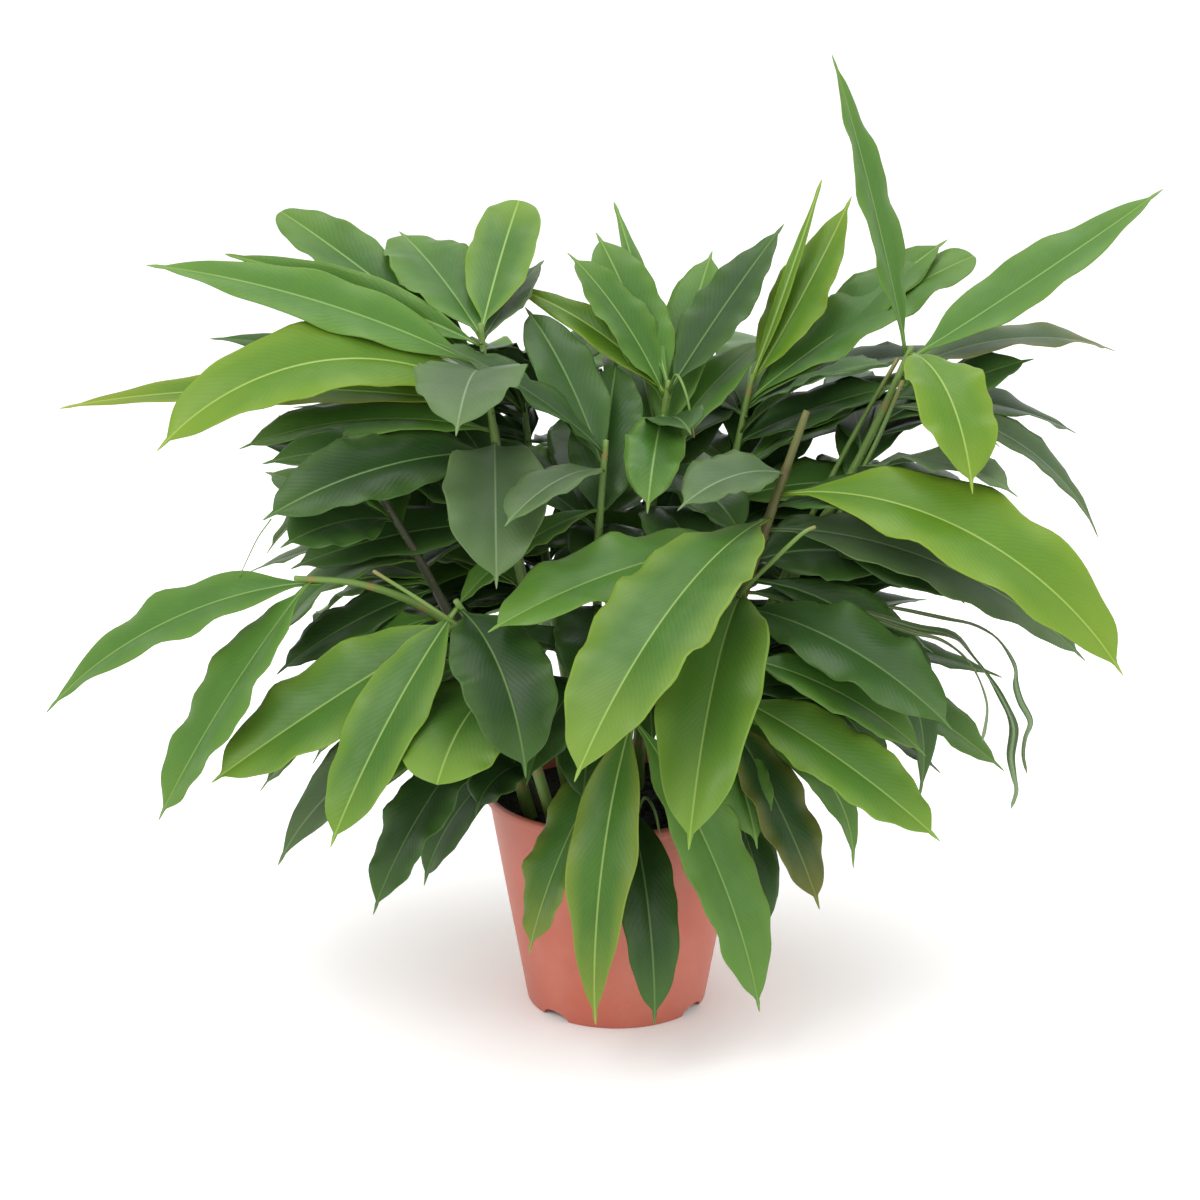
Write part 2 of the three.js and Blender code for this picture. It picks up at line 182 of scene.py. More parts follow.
@dataclass(frozen=True)
class LeafFinish:
    """A living leaf: a waxed cuticle over green tissue, satin where it is smooth.

    The eye sees a pale midrib, fine side veins that run forward to the edge, a thin lime margin, a
    faint mottle and a paler, duller underside.
    """

    tone: Tone
    blade: str
    deep: str
    vein: str
    margin: str
    under: str
    roughness: float
    margin_share: float = 0.05
    dry: str = "#b08c3c"
    vein_step: float = 6 * MM
    vein_half: float = 0.9 * MM
    vein_lean: float = -1.7
    vein_strength: float = 0.05
    fine_step: float = 1.3 * MM
    fine_relief: float = 0.35
    rib_core: float = 0.2 * MM
    rib_half: float = 1.0 * MM
    rib_strength: float = 0.75
    under_rib_core: float = 0.8 * MM
    under_rib_half: float = 1.8 * MM
    mottle_size: float = 22 * MM
    mottle_depth: float = 0.9
    wobble: float = 14 * MM
    rim_strength: float = 0.6
    blush_from: float = 0.2
    blush_strength: float = 0.3
    tip_from: float = 0.6
    tip_strength: float = 0.45
    gloss_fall: float = 0.05
    gloss_rise: float = 0.08
    under_roughness: float = 0.6
    wax_ior: float = 1.45
    specular: float = 0.24
    under_specular: float = 0.15

    def top(self) -> Material:
        """Makes the upper side's material.

        Returns:
            The material.
        """
        material, shader, add = new_material(f"{self.tone.value}_upper_cuticle")
        share = add(PARTS, Vector=add(UV_MAP, {"uv_map": "Share"}))
        place = add(PARTS, Vector=add(UV_MAP, LAMINA))
        centred = add(MATH, {"operation": "SUBTRACT"}, i0=share.outputs["X"], i1=0.5)
        edge = add(MATH, ABSOLUTE, i0=centred)
        side = add(MATH, ABSOLUTE, i0=place.outputs["X"])
        solid = add("ShaderNodeTexCoord").outputs["Object"]
        mottle = add(NOISE, Vector=solid, Scale=1 / self.mottle_size, Detail=4.0, Roughness=0.6)
        rib = add(
            RAMP, EASED, Value=side, From_Min=self.rib_core, From_Max=self.rib_half,
            To_Min=self.rib_strength, To_Max=0.0,
        )
        wobble = add(MATH, SCALE_ADD, i0=mottle, i1=self.wobble, i2=place.outputs["Y"])
        run = add(MATH, SCALE_ADD, i0=side, i1=self.vein_lean, i2=wobble)
        coarse = add(MATH, PINGPONG, i0=run, i1=self.vein_step / 2)
        fine = add(MATH, PINGPONG, i0=run, i1=self.fine_step / 2)
        veins = add(
            RAMP, EASED, Value=coarse, From_Max=self.vein_half, To_Min=self.vein_strength, To_Max=0.0
        )
        # The per-leaf shade, partly each leaf's own tone and partly painted light and shade, shifts the body
        # colour between blade and deep green along with the mottle.
        tint = add(ATTRIBUTE, {"attribute_name": "shade"}).outputs["Fac"]
        mottle_and_shade = add(
            MATH, {"operation": "MULTIPLY_ADD", "use_clamp": True},
            i0=mottle, i1=self.mottle_depth, i2=tint,
        )
        body = add(MIX, COLOURS, i0=mottle_and_shade, i6=linear(self.blade), i7=linear(self.deep))
        veined = add(MIX, COLOURS, i0=veins, i6=body, i7=linear(self.vein))
        ribbed = add(MIX, COLOURS, i0=rib, i6=veined, i7=linear(self.vein))
        outer = add(RAMP, EASED, Value=share.outputs["Y"], From_Min=self.tip_from, To_Max=self.tip_strength)
        for start, strength in (
            (0.5 - self.margin_share, self.rim_strength), (self.blush_from, self.blush_strength),
        ):
            glow = add(RAMP, EASED, Value=edge, From_Min=start, From_Max=0.5, To_Max=strength)
            outer = add(MATH, {"operation": "MAXIMUM"}, i0=outer, i1=glow)
        dryness = add(ATTRIBUTE, {"attribute_name": "dryness"}).outputs["Fac"]
        withered = add(MIX, COLOURS, i0=dryness, i6=linear(self.margin), i7=linear(self.dry))
        edged = add(MIX, COLOURS, i0=outer, i6=ribbed, i7=withered)
        gloss = add(
            RAMP, Value=mottle, From_Min=0.3, From_Max=0.7,
            To_Min=self.roughness - self.gloss_fall, To_Max=self.roughness + self.gloss_rise,
        )
        relief = add(MATH, SCALE_ADD, i0=fine, i1=self.fine_relief, i2=coarse)
        bump = add(BUMP, Strength=0.1, Distance=0.2, Height=relief)
        feed(
            shader, Base_Color=edged, Roughness=gloss, Normal=bump, IOR=self.wax_ior,
            Specular_IOR_Level=self.specular,
        )
        return material

    def underside(self) -> Material:
        """Makes the lower side's material, paler and matt, with a raised midrib.

        Returns:
            The material.
        """
        material, shader, add = new_material(f"{self.tone.value}_lower_skin")
        place = add(PARTS, Vector=add(UV_MAP, LAMINA))
        side = add(MATH, ABSOLUTE, i0=place.outputs["X"])
        solid = add("ShaderNodeTexCoord").outputs["Object"]
        mottle = add(NOISE, Vector=solid, Scale=1 / self.mottle_size, Detail=3.0)
        run = add(MATH, SCALE_ADD, i0=side, i1=self.vein_lean, i2=place.outputs["Y"])
        coarse = add(MATH, PINGPONG, i0=run, i1=self.vein_step / 2)
        rib = add(
            RAMP, EASED, Value=side, From_Min=self.under_rib_core, From_Max=self.under_rib_half,
            To_Min=1.0, To_Max=0.0,
        )
        body = add(MIX, COLOURS, i0=mottle, i6=linear(self.under), i7=linear(self.deep))
        ribbed = add(MIX, COLOURS, i0=rib, i6=body, i7=linear(self.vein))
        bump = add(BUMP, Strength=0.3, Distance=0.25, Height=coarse)
        feed(
            shader, Base_Color=ribbed, Normal=bump, Roughness=self.under_roughness,
            Specular_IOR_Level=self.under_specular,
        )
        return material


LEAF_FINISHES = (
    LeafFinish(Tone.YOUNG, "#50721d", "#3e6318", "#90a756", "#7f952c", "#688042", 0.38, 0.06),
    LeafFinish(Tone.FRESH, "#436723", "#31541b", "#849f52", "#7b9832", "#68834a", 0.38, 0.06),
    LeafFinish(Tone.GREEN, "#426825", "#2f521d", "#76924e", "#648434", "#5a7444", 0.38, 0.05),
    LeafFinish(Tone.DARK, "#2d4a20", "#203817", "#5c7842", "#4a6a2b", "#4b653b", 0.35, 0.04),
    # The sheen tone's grey-green colours are a painted sheen: the grey of light off top-lit leaves, put into
    # the colour.
    LeafFinish(Tone.PAINTED_SHEEN, "#465b3b", "#384e2d", "#728662", "#5e7640", "#566a4b", 0.44, 0.04),
)


@dataclass(frozen=True)
class CaneFinish:
    """A living cane: leaf sheaths rolled tightly round each other, smooth and waxy.

    The eye sees fine lengthwise ribs, a paler rim where each sheath ends, and a slow change of green.
    """

    name: str = "rolled_leaf_sheath_skin"
    green: str = "#4b6a2a"
    pale: str = "#6f8840"
    aged: str = "#7d6c3c"
    roughness: float = 0.45
    rib_step: float = 1.6 * MM
    patch_size: float = 35 * MM
    wax_ior: float = 1.45

    def material(self) -> Material:
        """Makes the cane's material.

        Returns:
            The material.
        """
        material, shader, add = new_material(self.name)
        place = add(PARTS, Vector=add(UV_MAP, LAMINA))
        solid = add("ShaderNodeTexCoord").outputs["Object"]
        patch = add(NOISE, Vector=solid, Scale=1 / self.patch_size, Detail=4.0)
        rib = add(MATH, PINGPONG, i0=place.outputs["X"], i1=self.rib_step / 2)
        rim = add(ATTRIBUTE, {"attribute_name": "rim"}).outputs["Fac"]
        body = add(MIX, COLOURS, i0=patch, i6=linear(self.green), i7=linear(self.pale))
        edged = add(MIX, COLOURS, i0=rim, i6=body, i7=linear(self.aged))
        bump = add(BUMP, Strength=0.4, Distance=0.3, Height=rib)
        feed(shader, Base_Color=edged, Normal=bump, Roughness=self.roughness, IOR=self.wax_ior)
        return material


# A darker copy of the cane skin: painted shade for the mid_left cane.
SHADED_CANE_FINISH = CaneFinish("painted_shade_leaf_sheath_skin", "#2b3420", "#403f28", "#4a3a26", 0.5)
CUT_CANE_FINISH = CaneFinish("drying_leaf_sheath_skin", "#4d5326", "#666a36", "#4a3a20", 0.55)


@dataclass(frozen=True)
class PotFinish:
    """Terracotta-coloured polypropylene, thin and injection moulded.

    The mould gives a satin skin, and handling gives faint pale scuffs and a dusty bloom.
    """

    name: str = "moulded_terracotta_polypropylene"
    body: str = "#b35d49"
    dusty: str = "#c27b69"
    scuff: str = "#d9a596"
    roughness: float = 0.42
    gloss_fall: float = 0.06
    gloss_rise: float = 0.12
    dust_size: float = 60 * MM
    dust_strength: float = 0.6
    scuff_size: float = 9 * MM
    scuff_strength: float = 0.5
    grain_size: float = 0.9 * MM
    plastic_ior: float = 1.49

    def material(self) -> Material:
        """Makes the pot's material.

        Returns:
            The material.
        """
        material, shader, add = new_material(self.name)
        solid = add("ShaderNodeTexCoord").outputs["Object"]
        dust = add(NOISE, Vector=solid, Scale=1 / self.dust_size, Detail=5.0)
        scuff = add(
            NOISE, Vector=solid, Scale=1 / self.scuff_size, Detail=6.0, Roughness=0.7, Distortion=1.5
        )
        grain = add(NOISE, Vector=solid, Scale=1 / self.grain_size, Detail=2.0)
        bloom = add(RAMP, Value=dust, From_Min=0.42, From_Max=0.75, To_Max=self.dust_strength)
        mark = add(RAMP, EASED, Value=scuff, From_Min=0.66, From_Max=0.74, To_Max=self.scuff_strength)
        body = add(MIX, COLOURS, i0=bloom, i6=linear(self.body), i7=linear(self.dusty))
        marked = add(MIX, COLOURS, i0=mark, i6=body, i7=linear(self.scuff))
        gloss = add(
            RAMP, Value=dust, From_Min=0.3, From_Max=0.7,
            To_Min=self.roughness - self.gloss_fall, To_Max=self.roughness + self.gloss_rise,
        )
        bump = add(BUMP, Strength=0.12, Distance=0.1, Height=grain)
        feed(shader, Base_Color=marked, Roughness=gloss, Normal=bump, IOR=self.plastic_ior)
        return material


@dataclass(frozen=True)
class SoilFinish:
    """Peat potting soil, watered and settled.

    Its surface is matt and nearly black, broken into crumbs, with a few pale wood fibres.
    """

    name: str = "peat_potting_soil"
    dark: str = "#15110e"
    light: str = "#2e2620"
    fleck: str = "#5a4a3c"
    grain_size: float = 2.5 * MM
    fleck_strength: float = 0.7
    roughness: float = 0.85
    relief: float = 0.8

    def material(self) -> Material:
        """Makes the soil's material.

        Returns:
            The material.
        """
        material, shader, add = new_material(self.name)
        solid = add("ShaderNodeTexCoord").outputs["Object"]
        grain = add(NOISE, Vector=solid, Scale=1 / self.grain_size, Detail=6.0, Roughness=0.65)
        chip = add("ShaderNodeTexVoronoi", Vector=solid, Scale=0.5 / self.grain_size)
        tone = add(RAMP, Value=grain, From_Min=0.35, From_Max=0.65)
        fleck = add(RAMP, Value=chip, From_Min=0.08, From_Max=0.16, To_Min=self.fleck_strength, To_Max=0.0)
        body = add(MIX, COLOURS, i0=tone, i6=linear(self.dark), i7=linear(self.light))
        flecked = add(MIX, COLOURS, i0=fleck, i6=body, i7=linear(self.fleck))
        bump = add(BUMP, Strength=self.relief, Distance=0.6, Height=grain)
        feed(shader, Base_Color=flecked, Normal=bump, Roughness=self.roughness)
        return material


def smooth_through(values: tuple[Any, ...], share: float) -> Any:
    """Reads a smooth curve through evenly spaced values.

    Args:
        values: Numbers or vectors, the first at share 0 and the last at share 1.
        share: Where to read.

    Returns:
        The curve's value there.
    """
    place = min(max(share, 0.0), 1.0) * (len(values) - 1)
    i = min(int(place), len(values) - 2)
    t = place - i
    b, c = values[i], values[i + 1]
    a = values[i - 1] if i > 0 else 2 * b - c
    d = values[i + 2] if i + 2 < len(values) else 2 * c - b
    return 0.5 * (2 * b + t * (c - a) + t * t * (2 * a - 5 * b + 4 * c - d) + t**3 * (3 * b - a - 3 * c + d))


def solid_rings(node: str) -> list[list[Vector]]:
    """Reads the rings of a limb's solid, from one end point to the other.

    Args:
        node: The frame's node.

    Returns:
        The corner points ring by ring; the first and last ring are the end points.
    """
    mesh = bmesh.new()
    mesh.from_mesh(frame["nodes"][node].data)
    bmesh.ops.remove_doubles(mesh, verts=mesh.verts, dist=MERGE)
    end_ring_valence = 5
    start = next(
        v for v in mesh.verts
        if all(len(e.other_vert(v).link_edges) == end_ring_valence for e in v.link_edges)
    )
    seen, layer, rings = {start}, [start], []
    while layer:
        rings.append([v.co.copy() for v in layer])
        layer = list(dict.fromkeys(
            o for v in layer for e in v.link_edges if (o := e.other_vert(v)) not in seen
        ))
        seen.update(layer)
    mesh.free()
    return rings


def middle(points: list[Vector]) -> Vector:
    """The average of some points."""
    return sum(points, Vector()) / len(points)


def line_length(points: tuple[Vector, ...]) -> float:
    """The length of a line through some points."""
    return sum((b - a).length for a, b in zip(points, points[1:]))


def heading_at(line: tuple[Vector, ...], share: float) -> Vector:
    """The direction in which a line runs at a share of its length."""
    step = 0.01
    return (smooth_through(line, share + step) - smooth_through(line, share - step)).normalized()


@dataclass(frozen=True)
class Course:
    """A leaf's line: where its middle runs, which way its face looks, and how wide it grows."""

    spine: tuple[Vector, ...]
    faces: tuple[Vector, ...]
    half: float

    @classmethod
    def of_solid(cls, node: str) -> "Course":
        """Reads the line of a leaf's solid.

        Args:
            node: The leaf's node in the frame.

        Returns:
            Its line, from the cane to the tip.
        """
        rings = solid_rings(node)
        spine, faces, halves = [rings[0][0]], [], []
        for ring in rings[1:-1]:
            left, right = max(
                ((p, q) for p in ring for q in ring), key=lambda pair: (pair[0] - pair[1]).length
            )
            mids = [p for p in ring if p not in (left, right)]
            centre, lift = middle(mids), (mids[0] - mids[1]).normalized()
            faces.append(lift if lift.dot((left + right) / 2 - centre) > 0 else -lift)
            halves.append((left - right).length / 2)
            spine.append(centre)
        spine.append(rings[-1][0])
        faces = [faces[0], *faces, faces[-1]]
        if halves[0] > halves[-1]:
            spine.reverse()
            faces.reverse()
        return cls(tuple(spine), tuple(faces), max(halves))

    @classmethod
    def of_sweep(cls, base: Vector, tip: Vector, width: float, arch: float, roll: float) -> "Course":
        """Draws the line of a leaf between two points.

        Args:
            base: Where it leaves the cane.
            tip: Where it ends.
            width: The blade's greatest width.
            arch: How far the middle rises above the straight line.
            roll: How far the face leans to the side, in degrees.

        Returns:
            The line.
        """
        chord = tip - base
        rise = (UP - chord * (UP.dot(chord) / chord.length_squared)).normalized()
        near = base + STEER_NEAR * chord + LIFT_NEAR * arch * rise
        far = base + STEER_FAR * chord + LIFT_FAR * arch * rise
        spine, faces = [], []
        stations = 9
        for i in range(stations + 1):
            t = i / stations
            u = 1 - t
            spine.append(u**3 * base + 3 * u * u * t * near + 3 * u * t * t * far + t**3 * tip)
            tangent = u * u * (near - base) + 2 * u * t * (far - near) + t * t * (tip - far)
            tangent.normalize()
            face = (rise - tangent * rise.dot(tangent)).normalized()
            faces.append(Matrix.Rotation(math.radians(roll), 3, tangent) @ face)
        return cls(tuple(spine), tuple(faces), width / 2)

    @classmethod
    def of_points(cls, points: list[Point], width: float, twist: float) -> "Course":
        """Draws the line of a hanging strip of leaf, which turns as it goes.

        Args:
            points: Where it runs, in millimetres.
            width: Its greatest width.
            twist: How far it turns from end to end, in degrees.

        Returns:
            The line.
        """
        rough = tuple(Vector(p) * MM for p in points)
        stations = 12
        spine = tuple(smooth_through(rough, i / stations) for i in range(stations + 1))
        faces = []
        for i in range(stations + 1):
            ahead, behind = spine[min(i + 1, stations)], spine[max(i - 1, 0)]
            tangent = (ahead - behind).normalized()
            side = tangent.cross(FRONT).normalized()
            turn = Matrix.Rotation(math.radians(twist * i / stations), 3, tangent)
            faces.append(turn @ tangent.cross(side) * -1)
        return cls(spine, tuple(faces), width / 2)

    @property
    def length(self) -> float:
        """The length of the middle line."""
        return line_length(self.spine)

    def section(self, share: float) -> tuple[Vector, Vector, Vector]:
        """Gives the middle point, the sideways direction and the face direction at a share.

        Args:
            share: 0 at the cane, 1 at the tip.

        Returns:
            The point, across and face.
        """
        tangent = heading_at(self.spine, share)
        face = smooth_through(self.faces, share)
        face = (face - tangent * face.dot(tangent)).normalized()
        return smooth_through(self.spine, share), tangent.cross(face), face


def lay_grid(
    mesh: BMesh, columns: int, rows: int, place: Callable[[int, int], Vector]
) -> list[list[BMVert]]:
    """Makes a grid and lays it on a surface.

    Args:
        mesh: The mesh to add to.
        columns: Faces across.
        rows: Faces along.
        place: Gives the point of a column and row.

    Returns:
        The vertices, row by row.
    """
    made = bmesh.ops.create_grid(mesh, x_segments=columns, y_segments=rows, size=1.0)["verts"]
    strips = [[None] * (columns + 1) for _ in range(rows + 1)]
    for vert in made:
        column, row = round((vert.co.x + 1) / 2 * columns), round((vert.co.y + 1) / 2 * rows)
        strips[row][column] = vert
        vert.co = place(column, row)
    return strips


def layer(layers: Any, name: str) -> Any:
    """The mesh layer of a name, made where it is missing."""
    return layers.get(name) or layers.new(name)


def turn_round(mesh: BMesh, outline: list[Pair], steps: int) -> None:
    """Turns an outline round the upright axis into a closed skin.

    Args:
        mesh: The empty mesh to fill.
        outline: Radius and height of each corner, from axis to axis.
        steps: Faces round the axis.
    """
    points = [mesh.verts.new((radius, 0.0, height)) for radius, height in outline]
    edges = [mesh.edges.new(pair) for pair in zip(points, points[1:])]
    bmesh.ops.spin(
        mesh, geom=points + edges, cent=(0, 0, 0), axis=(0, 0, 1), angle=2 * math.pi,
        steps=steps, use_merge=True,
    )
    bmesh.ops.remove_doubles(mesh, verts=mesh.verts, dist=MERGE)


def new_object(mesh: BMesh, name: str, materials: tuple[Material, ...] = ()) -> Object:
    """Turns a built mesh into an object of the scene.

    Args:
        mesh: The mesh, which is freed.
        name: The object's name.
        materials: Its materials, in slot order.

    Returns:
        The object.
    """
    data = bpy.data.meshes.new(name)
    mesh.to_mesh(data)
    mesh.free()
    for material in materials:
        data.materials.append(material)
    made = bpy.data.objects.new(name, data)
    bpy.context.scene.collection.objects.link(made)
    return made


def finish_piece(
    mesh: BMesh, name: str, materials: list[Material],
    nodes: tuple[str, ...] = (),
) -> Object:
    """Turns a built mesh into a piece of the plant.

    Args:
        mesh: The mesh, which is freed.
        name: The piece's name.
        materials: Its materials, in slot order.
        nodes: The frame's nodes that it stands for.

    Returns:
        The piece.
    """
    for face in mesh.faces:
        face.smooth = True
    piece = new_object(mesh, name, tuple(materials))
    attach(piece, BODY)
    if nodes:
        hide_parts(*nodes)
    return piece


@dataclass
class Blade:
    """A leaf blade and its stalk, laid along a course.

    The outline gives the half width at even shares of the length: a slim stalk, a rounded base, the
    widest part below the middle and a long drip tip.
    """

    course: Course
    seed: str
    shade: float = 0.0
    dryness: float = 0.0
    stalk: float = 1.0
    rows: int = 42
    row_crowding: float = 1.45
    across: tuple[float, ...] = (-1, -0.94, -0.75, -0.5, -0.25, -0.06, 0, 0.06, 0.25, 0.5, 0.75, 0.94, 1)
    outline: tuple[float, ...] = (
        0.06, 0.09, 0.34, 0.6, 0.78, 0.9, 0.97, 1.0, 1.0, 0.98, 0.94, 0.87, 0.77, 0.62, 0.4, 0.0,
    )
    tip: TipForm | None = None
    drip_length: float = 9 * MM
    slender: float = 0.115
    crease: float = 0.3
    droop: float = 0.16
    groove: float = 0.5 * MM
    groove_share: float = 0.25
    groove_full_half: float = 10 * MM
    least_half: float = 1.5 * MM
    point_half: float = 0.2 * MM
    point_slope: float = 0.16
    long_from: float = 0.45
    long_loss: float = 0.62
    long_power: float = 1.3
    blunt_from: float = 0.5
    blunt_power: int = 3
    root_depth: float = 3 * MM
    root_share: float = 0.05
    wave_range: Pair = (2.2, 4.2)
    swell_range: Pair = (0.06, 0.15)
    skew_range: Pair = (-0.5, 0.5)
    ripple_range: Pair = (0.02, 0.07)
    ripple_count_range: Pair = (6, 9)
    edge_waver: float = 0.025
    edge_waver_pace: float = 0.7
    lamina_weight: float = 0.28
    stalk_weight: float = 0.7
    stalk_share: float = 0.12
    rib_weight: float = 0.8
    rib_share: float = 0.2

    def half_at(self, share: float) -> float:
        """Gives the half width.

        Args:
            share: Where along the length, 0 at the cane and 1 at the tip.

        Returns:
            The half width there.
        """
        if share >= 1:
            return 0.0
        length, form = self.course.length, self.form
        drip = 0.0 if form is TipForm.BLUNT else self.drip_length / length
        body = smooth_through(self.outline, share / (1 - drip))
        if form is TipForm.LONG and share > self.long_from:
            body *= 1 - self.long_loss * ((share - self.long_from) / (1 - self.long_from)) ** self.long_power
        if form is TipForm.BLUNT and share > self.blunt_from:
            fall = ((share - self.blunt_from) / (1 - self.blunt_from)) ** self.blunt_power
            body = max(body, math.sqrt(max(0.0, 1 - fall)))
        point = self.point_half + self.point_slope * (1 - share) * length
        return max(body * self.course.half, min(self.least_half, point))

    @property
    def form(self) -> TipForm:
        """The tip's form: the chosen one, or drawn out on a slender blade."""
        slim = self.course.half / self.course.length < self.slender
        return self.tip or (TipForm.LONG if slim else TipForm.DRIP)

    def lay(self, mesh: BMesh) -> None:
        """Adds the blade's upper side to a mesh, with its maps and thickness weights.

        Args:
            mesh: The mesh to add to.
        """
        chance = random.Random(self.seed)
        waves, phase = chance.uniform(*self.wave_range), chance.uniform(0, 2 * math.pi)
        swell, skew = chance.uniform(*self.swell_range), chance.uniform(*self.skew_range)
        ripple, ripples = chance.uniform(*self.ripple_range), chance.uniform(*self.ripple_count_range)
        columns = len(self.across) - 1
        sections = []
        for row in range(self.rows + 1):
            share = 1 - (1 - row / self.rows) ** self.row_crowding
            sections.append((share, self.half_at(share), *self.course.section(share)))

        def place(column: int, row: int) -> Vector:
            """Gives a point of the waved upper side.

            Args:
                column: The point's column across the blade.
                row: Its row along the blade.

            Returns:
                The point.
            """
            share, half, centre, across, face = sections[row]
            side = self.across[column]
            reach = abs(side)
            turn = 2 * math.pi * waves * share + phase + (skew * math.pi if side > 0 else 0)
            lift = half * (self.crease * reach - self.droop * reach**2)
            lift += half * swell * reach**2 * math.sin(turn)
            crimp = 2 * math.pi * ripples * share + (phase if side > 0 else 2 * phase)
            lift += half * ripple * reach**4 * math.sin(crimp)
            half *= 1 + self.edge_waver * math.sin(crimp * self.edge_waver_pace + phase)
            hollow = (1 - min(1.0, reach / self.groove_share)) * min(1.0, half / self.groove_full_half)
            lift -= self.groove * hollow
            back = self.root_depth * max(0.0, 1 - share / self.root_share)
            tangent = face.cross(across)
            return centre + across * (side * half) + face * lift - tangent * back

        share_map, lamina_map = (layer(mesh.loops.layers.uv, name) for name in ("Share", "Lamina"))
        shade, dryness = (layer(mesh.verts.layers.float, name) for name in ("shade", "dryness"))
        weight = mesh.verts.layers.deform.verify()
        strips = lay_grid(mesh, columns, self.rows, place)
        length = self.course.length
        for (share, half, *_), strip in zip(sections, strips):
            for side, vert in zip(self.across, strip):
                vert[shade] = self.shade
                vert[dryness] = self.dryness
                stalk = self.stalk * max(0.0, 1 - share / self.stalk_share)
                rib = self.rib_weight * max(0.0, 1 - abs(side) / self.rib_share) * (1 - share)
                vert[weight][0] = min(1.0, self.lamina_weight + max(self.stalk_weight * stalk, rib))
                for loop in vert.link_loops:
                    loop[share_map].uv = ((side + 1) / 2, share)
                    loop[lamina_map].uv = (side * half, share * length)
        bmesh.ops.remove_doubles(mesh, verts=strips[-1], dist=0.5 * MERGE)

    def tree(self) -> BVHTree:
        """Makes the blade's coarse surface without its foot, for telling whether two blades cross.

        Returns:
            The surface.
        """
        rows = 12
        points, faces = [], []
        for i in range(1, rows + 1):
            share = i / rows
            centre, across, _ = self.course.section(share)
            half = self.half_at(share)
            points += [centre - across * half, centre, centre + across * half]
        for i in range(rows - 1):
            for j in range(2):
                k = 3 * i + j
                faces.append((k, k + 1, k + 4, k + 3))
        return BVHTree.FromPolygons(points, faces)


def thicken(piece: Object, thickness: float) -> None:
    """Gives a leaf piece its thickness, with the second material on its lower side.

    Args:
        piece: The piece.
        thickness: The thickness of its stalks.
    """
    piece.vertex_groups.new(name="thickness")
    solidify = piece.modifiers.new("leaf_thickness", "SOLIDIFY")
    solidify.thickness = thickness
    solidify.offset = -1.0
    solidify.vertex_group = "thickness"
    solidify.material_offset = 1
    solidify.use_even_offset = False


@dataclass(frozen=True)
class LeafPlan:
    """A leaf without a solid of its own: where it leaves its cane, where it ends, and its form."""

    at: float
    tip: Point
    width: float
    arch: float
    roll: float
    tone: Tone


def lay_tube(
    mesh: BMesh, line: tuple[Vector, ...], radius_at: Callable[[float], float],
    rim_at: Callable[[float], float], sides: int, rows: int, end_lift: float,
) -> None:
    """Adds a closed round stem to a mesh, with its map and its dry rims.

    Args:
        mesh: The mesh to add to.
        line: The middle line's points, evenly spaced.
        radius_at: The radius at a share of the length.
        rim_at: How dry the skin is at a share of the length.
        sides: Faces round it.
        rows: Faces along it.
        end_lift: How far its ends are domed, as a share of the radius.
    """
    length = line_length(line)
    sideways = Vector((0.0, 1.0, 0.0))
    rings = []
    for row in range(rows + 1):
        share = row / rows
        tangent = heading_at(line, share)
        across = sideways.cross(tangent).normalized()
        rings.append((share, smooth_through(line, share), across, tangent.cross(across), tangent))

    def place(column: int, row: int) -> Vector:
        """Gives a point of the stem's skin, whose first and last rows close its ends.

        Args:
            column: The point's column round the stem.
            row: Its row along the stem.

        Returns:
            The point.
        """
        share, centre, across, outward, tangent = rings[min(max(row - 1, 0), rows)]
        radius = radius_at(share)
        if row in (0, rows + 2):
            return centre + tangent * (radius * end_lift * (1 if row else -1))
        angle = -2 * math.pi * column / sides
        return centre + radius * (math.cos(angle) * across + math.sin(angle) * outward)

    lamina_map, rim = layer(mesh.loops.layers.uv, "Lamina"), layer(mesh.verts.layers.float, "rim")
    strips = lay_grid(mesh, sides, rows + 2, place)
    for row, strip in enumerate(strips):
        share = rings[min(max(row - 1, 0), rows)][0]
        for column, vert in enumerate(strip):
            vert[rim] = rim_at(share)
            for loop in vert.link_loops:
                loop[lamina_map].uv = (2 * math.pi * radius_at(share) * column / sides, share * length)
    bmesh.ops.remove_doubles(mesh, verts=[v for strip in strips for v in strip], dist=MERGE)


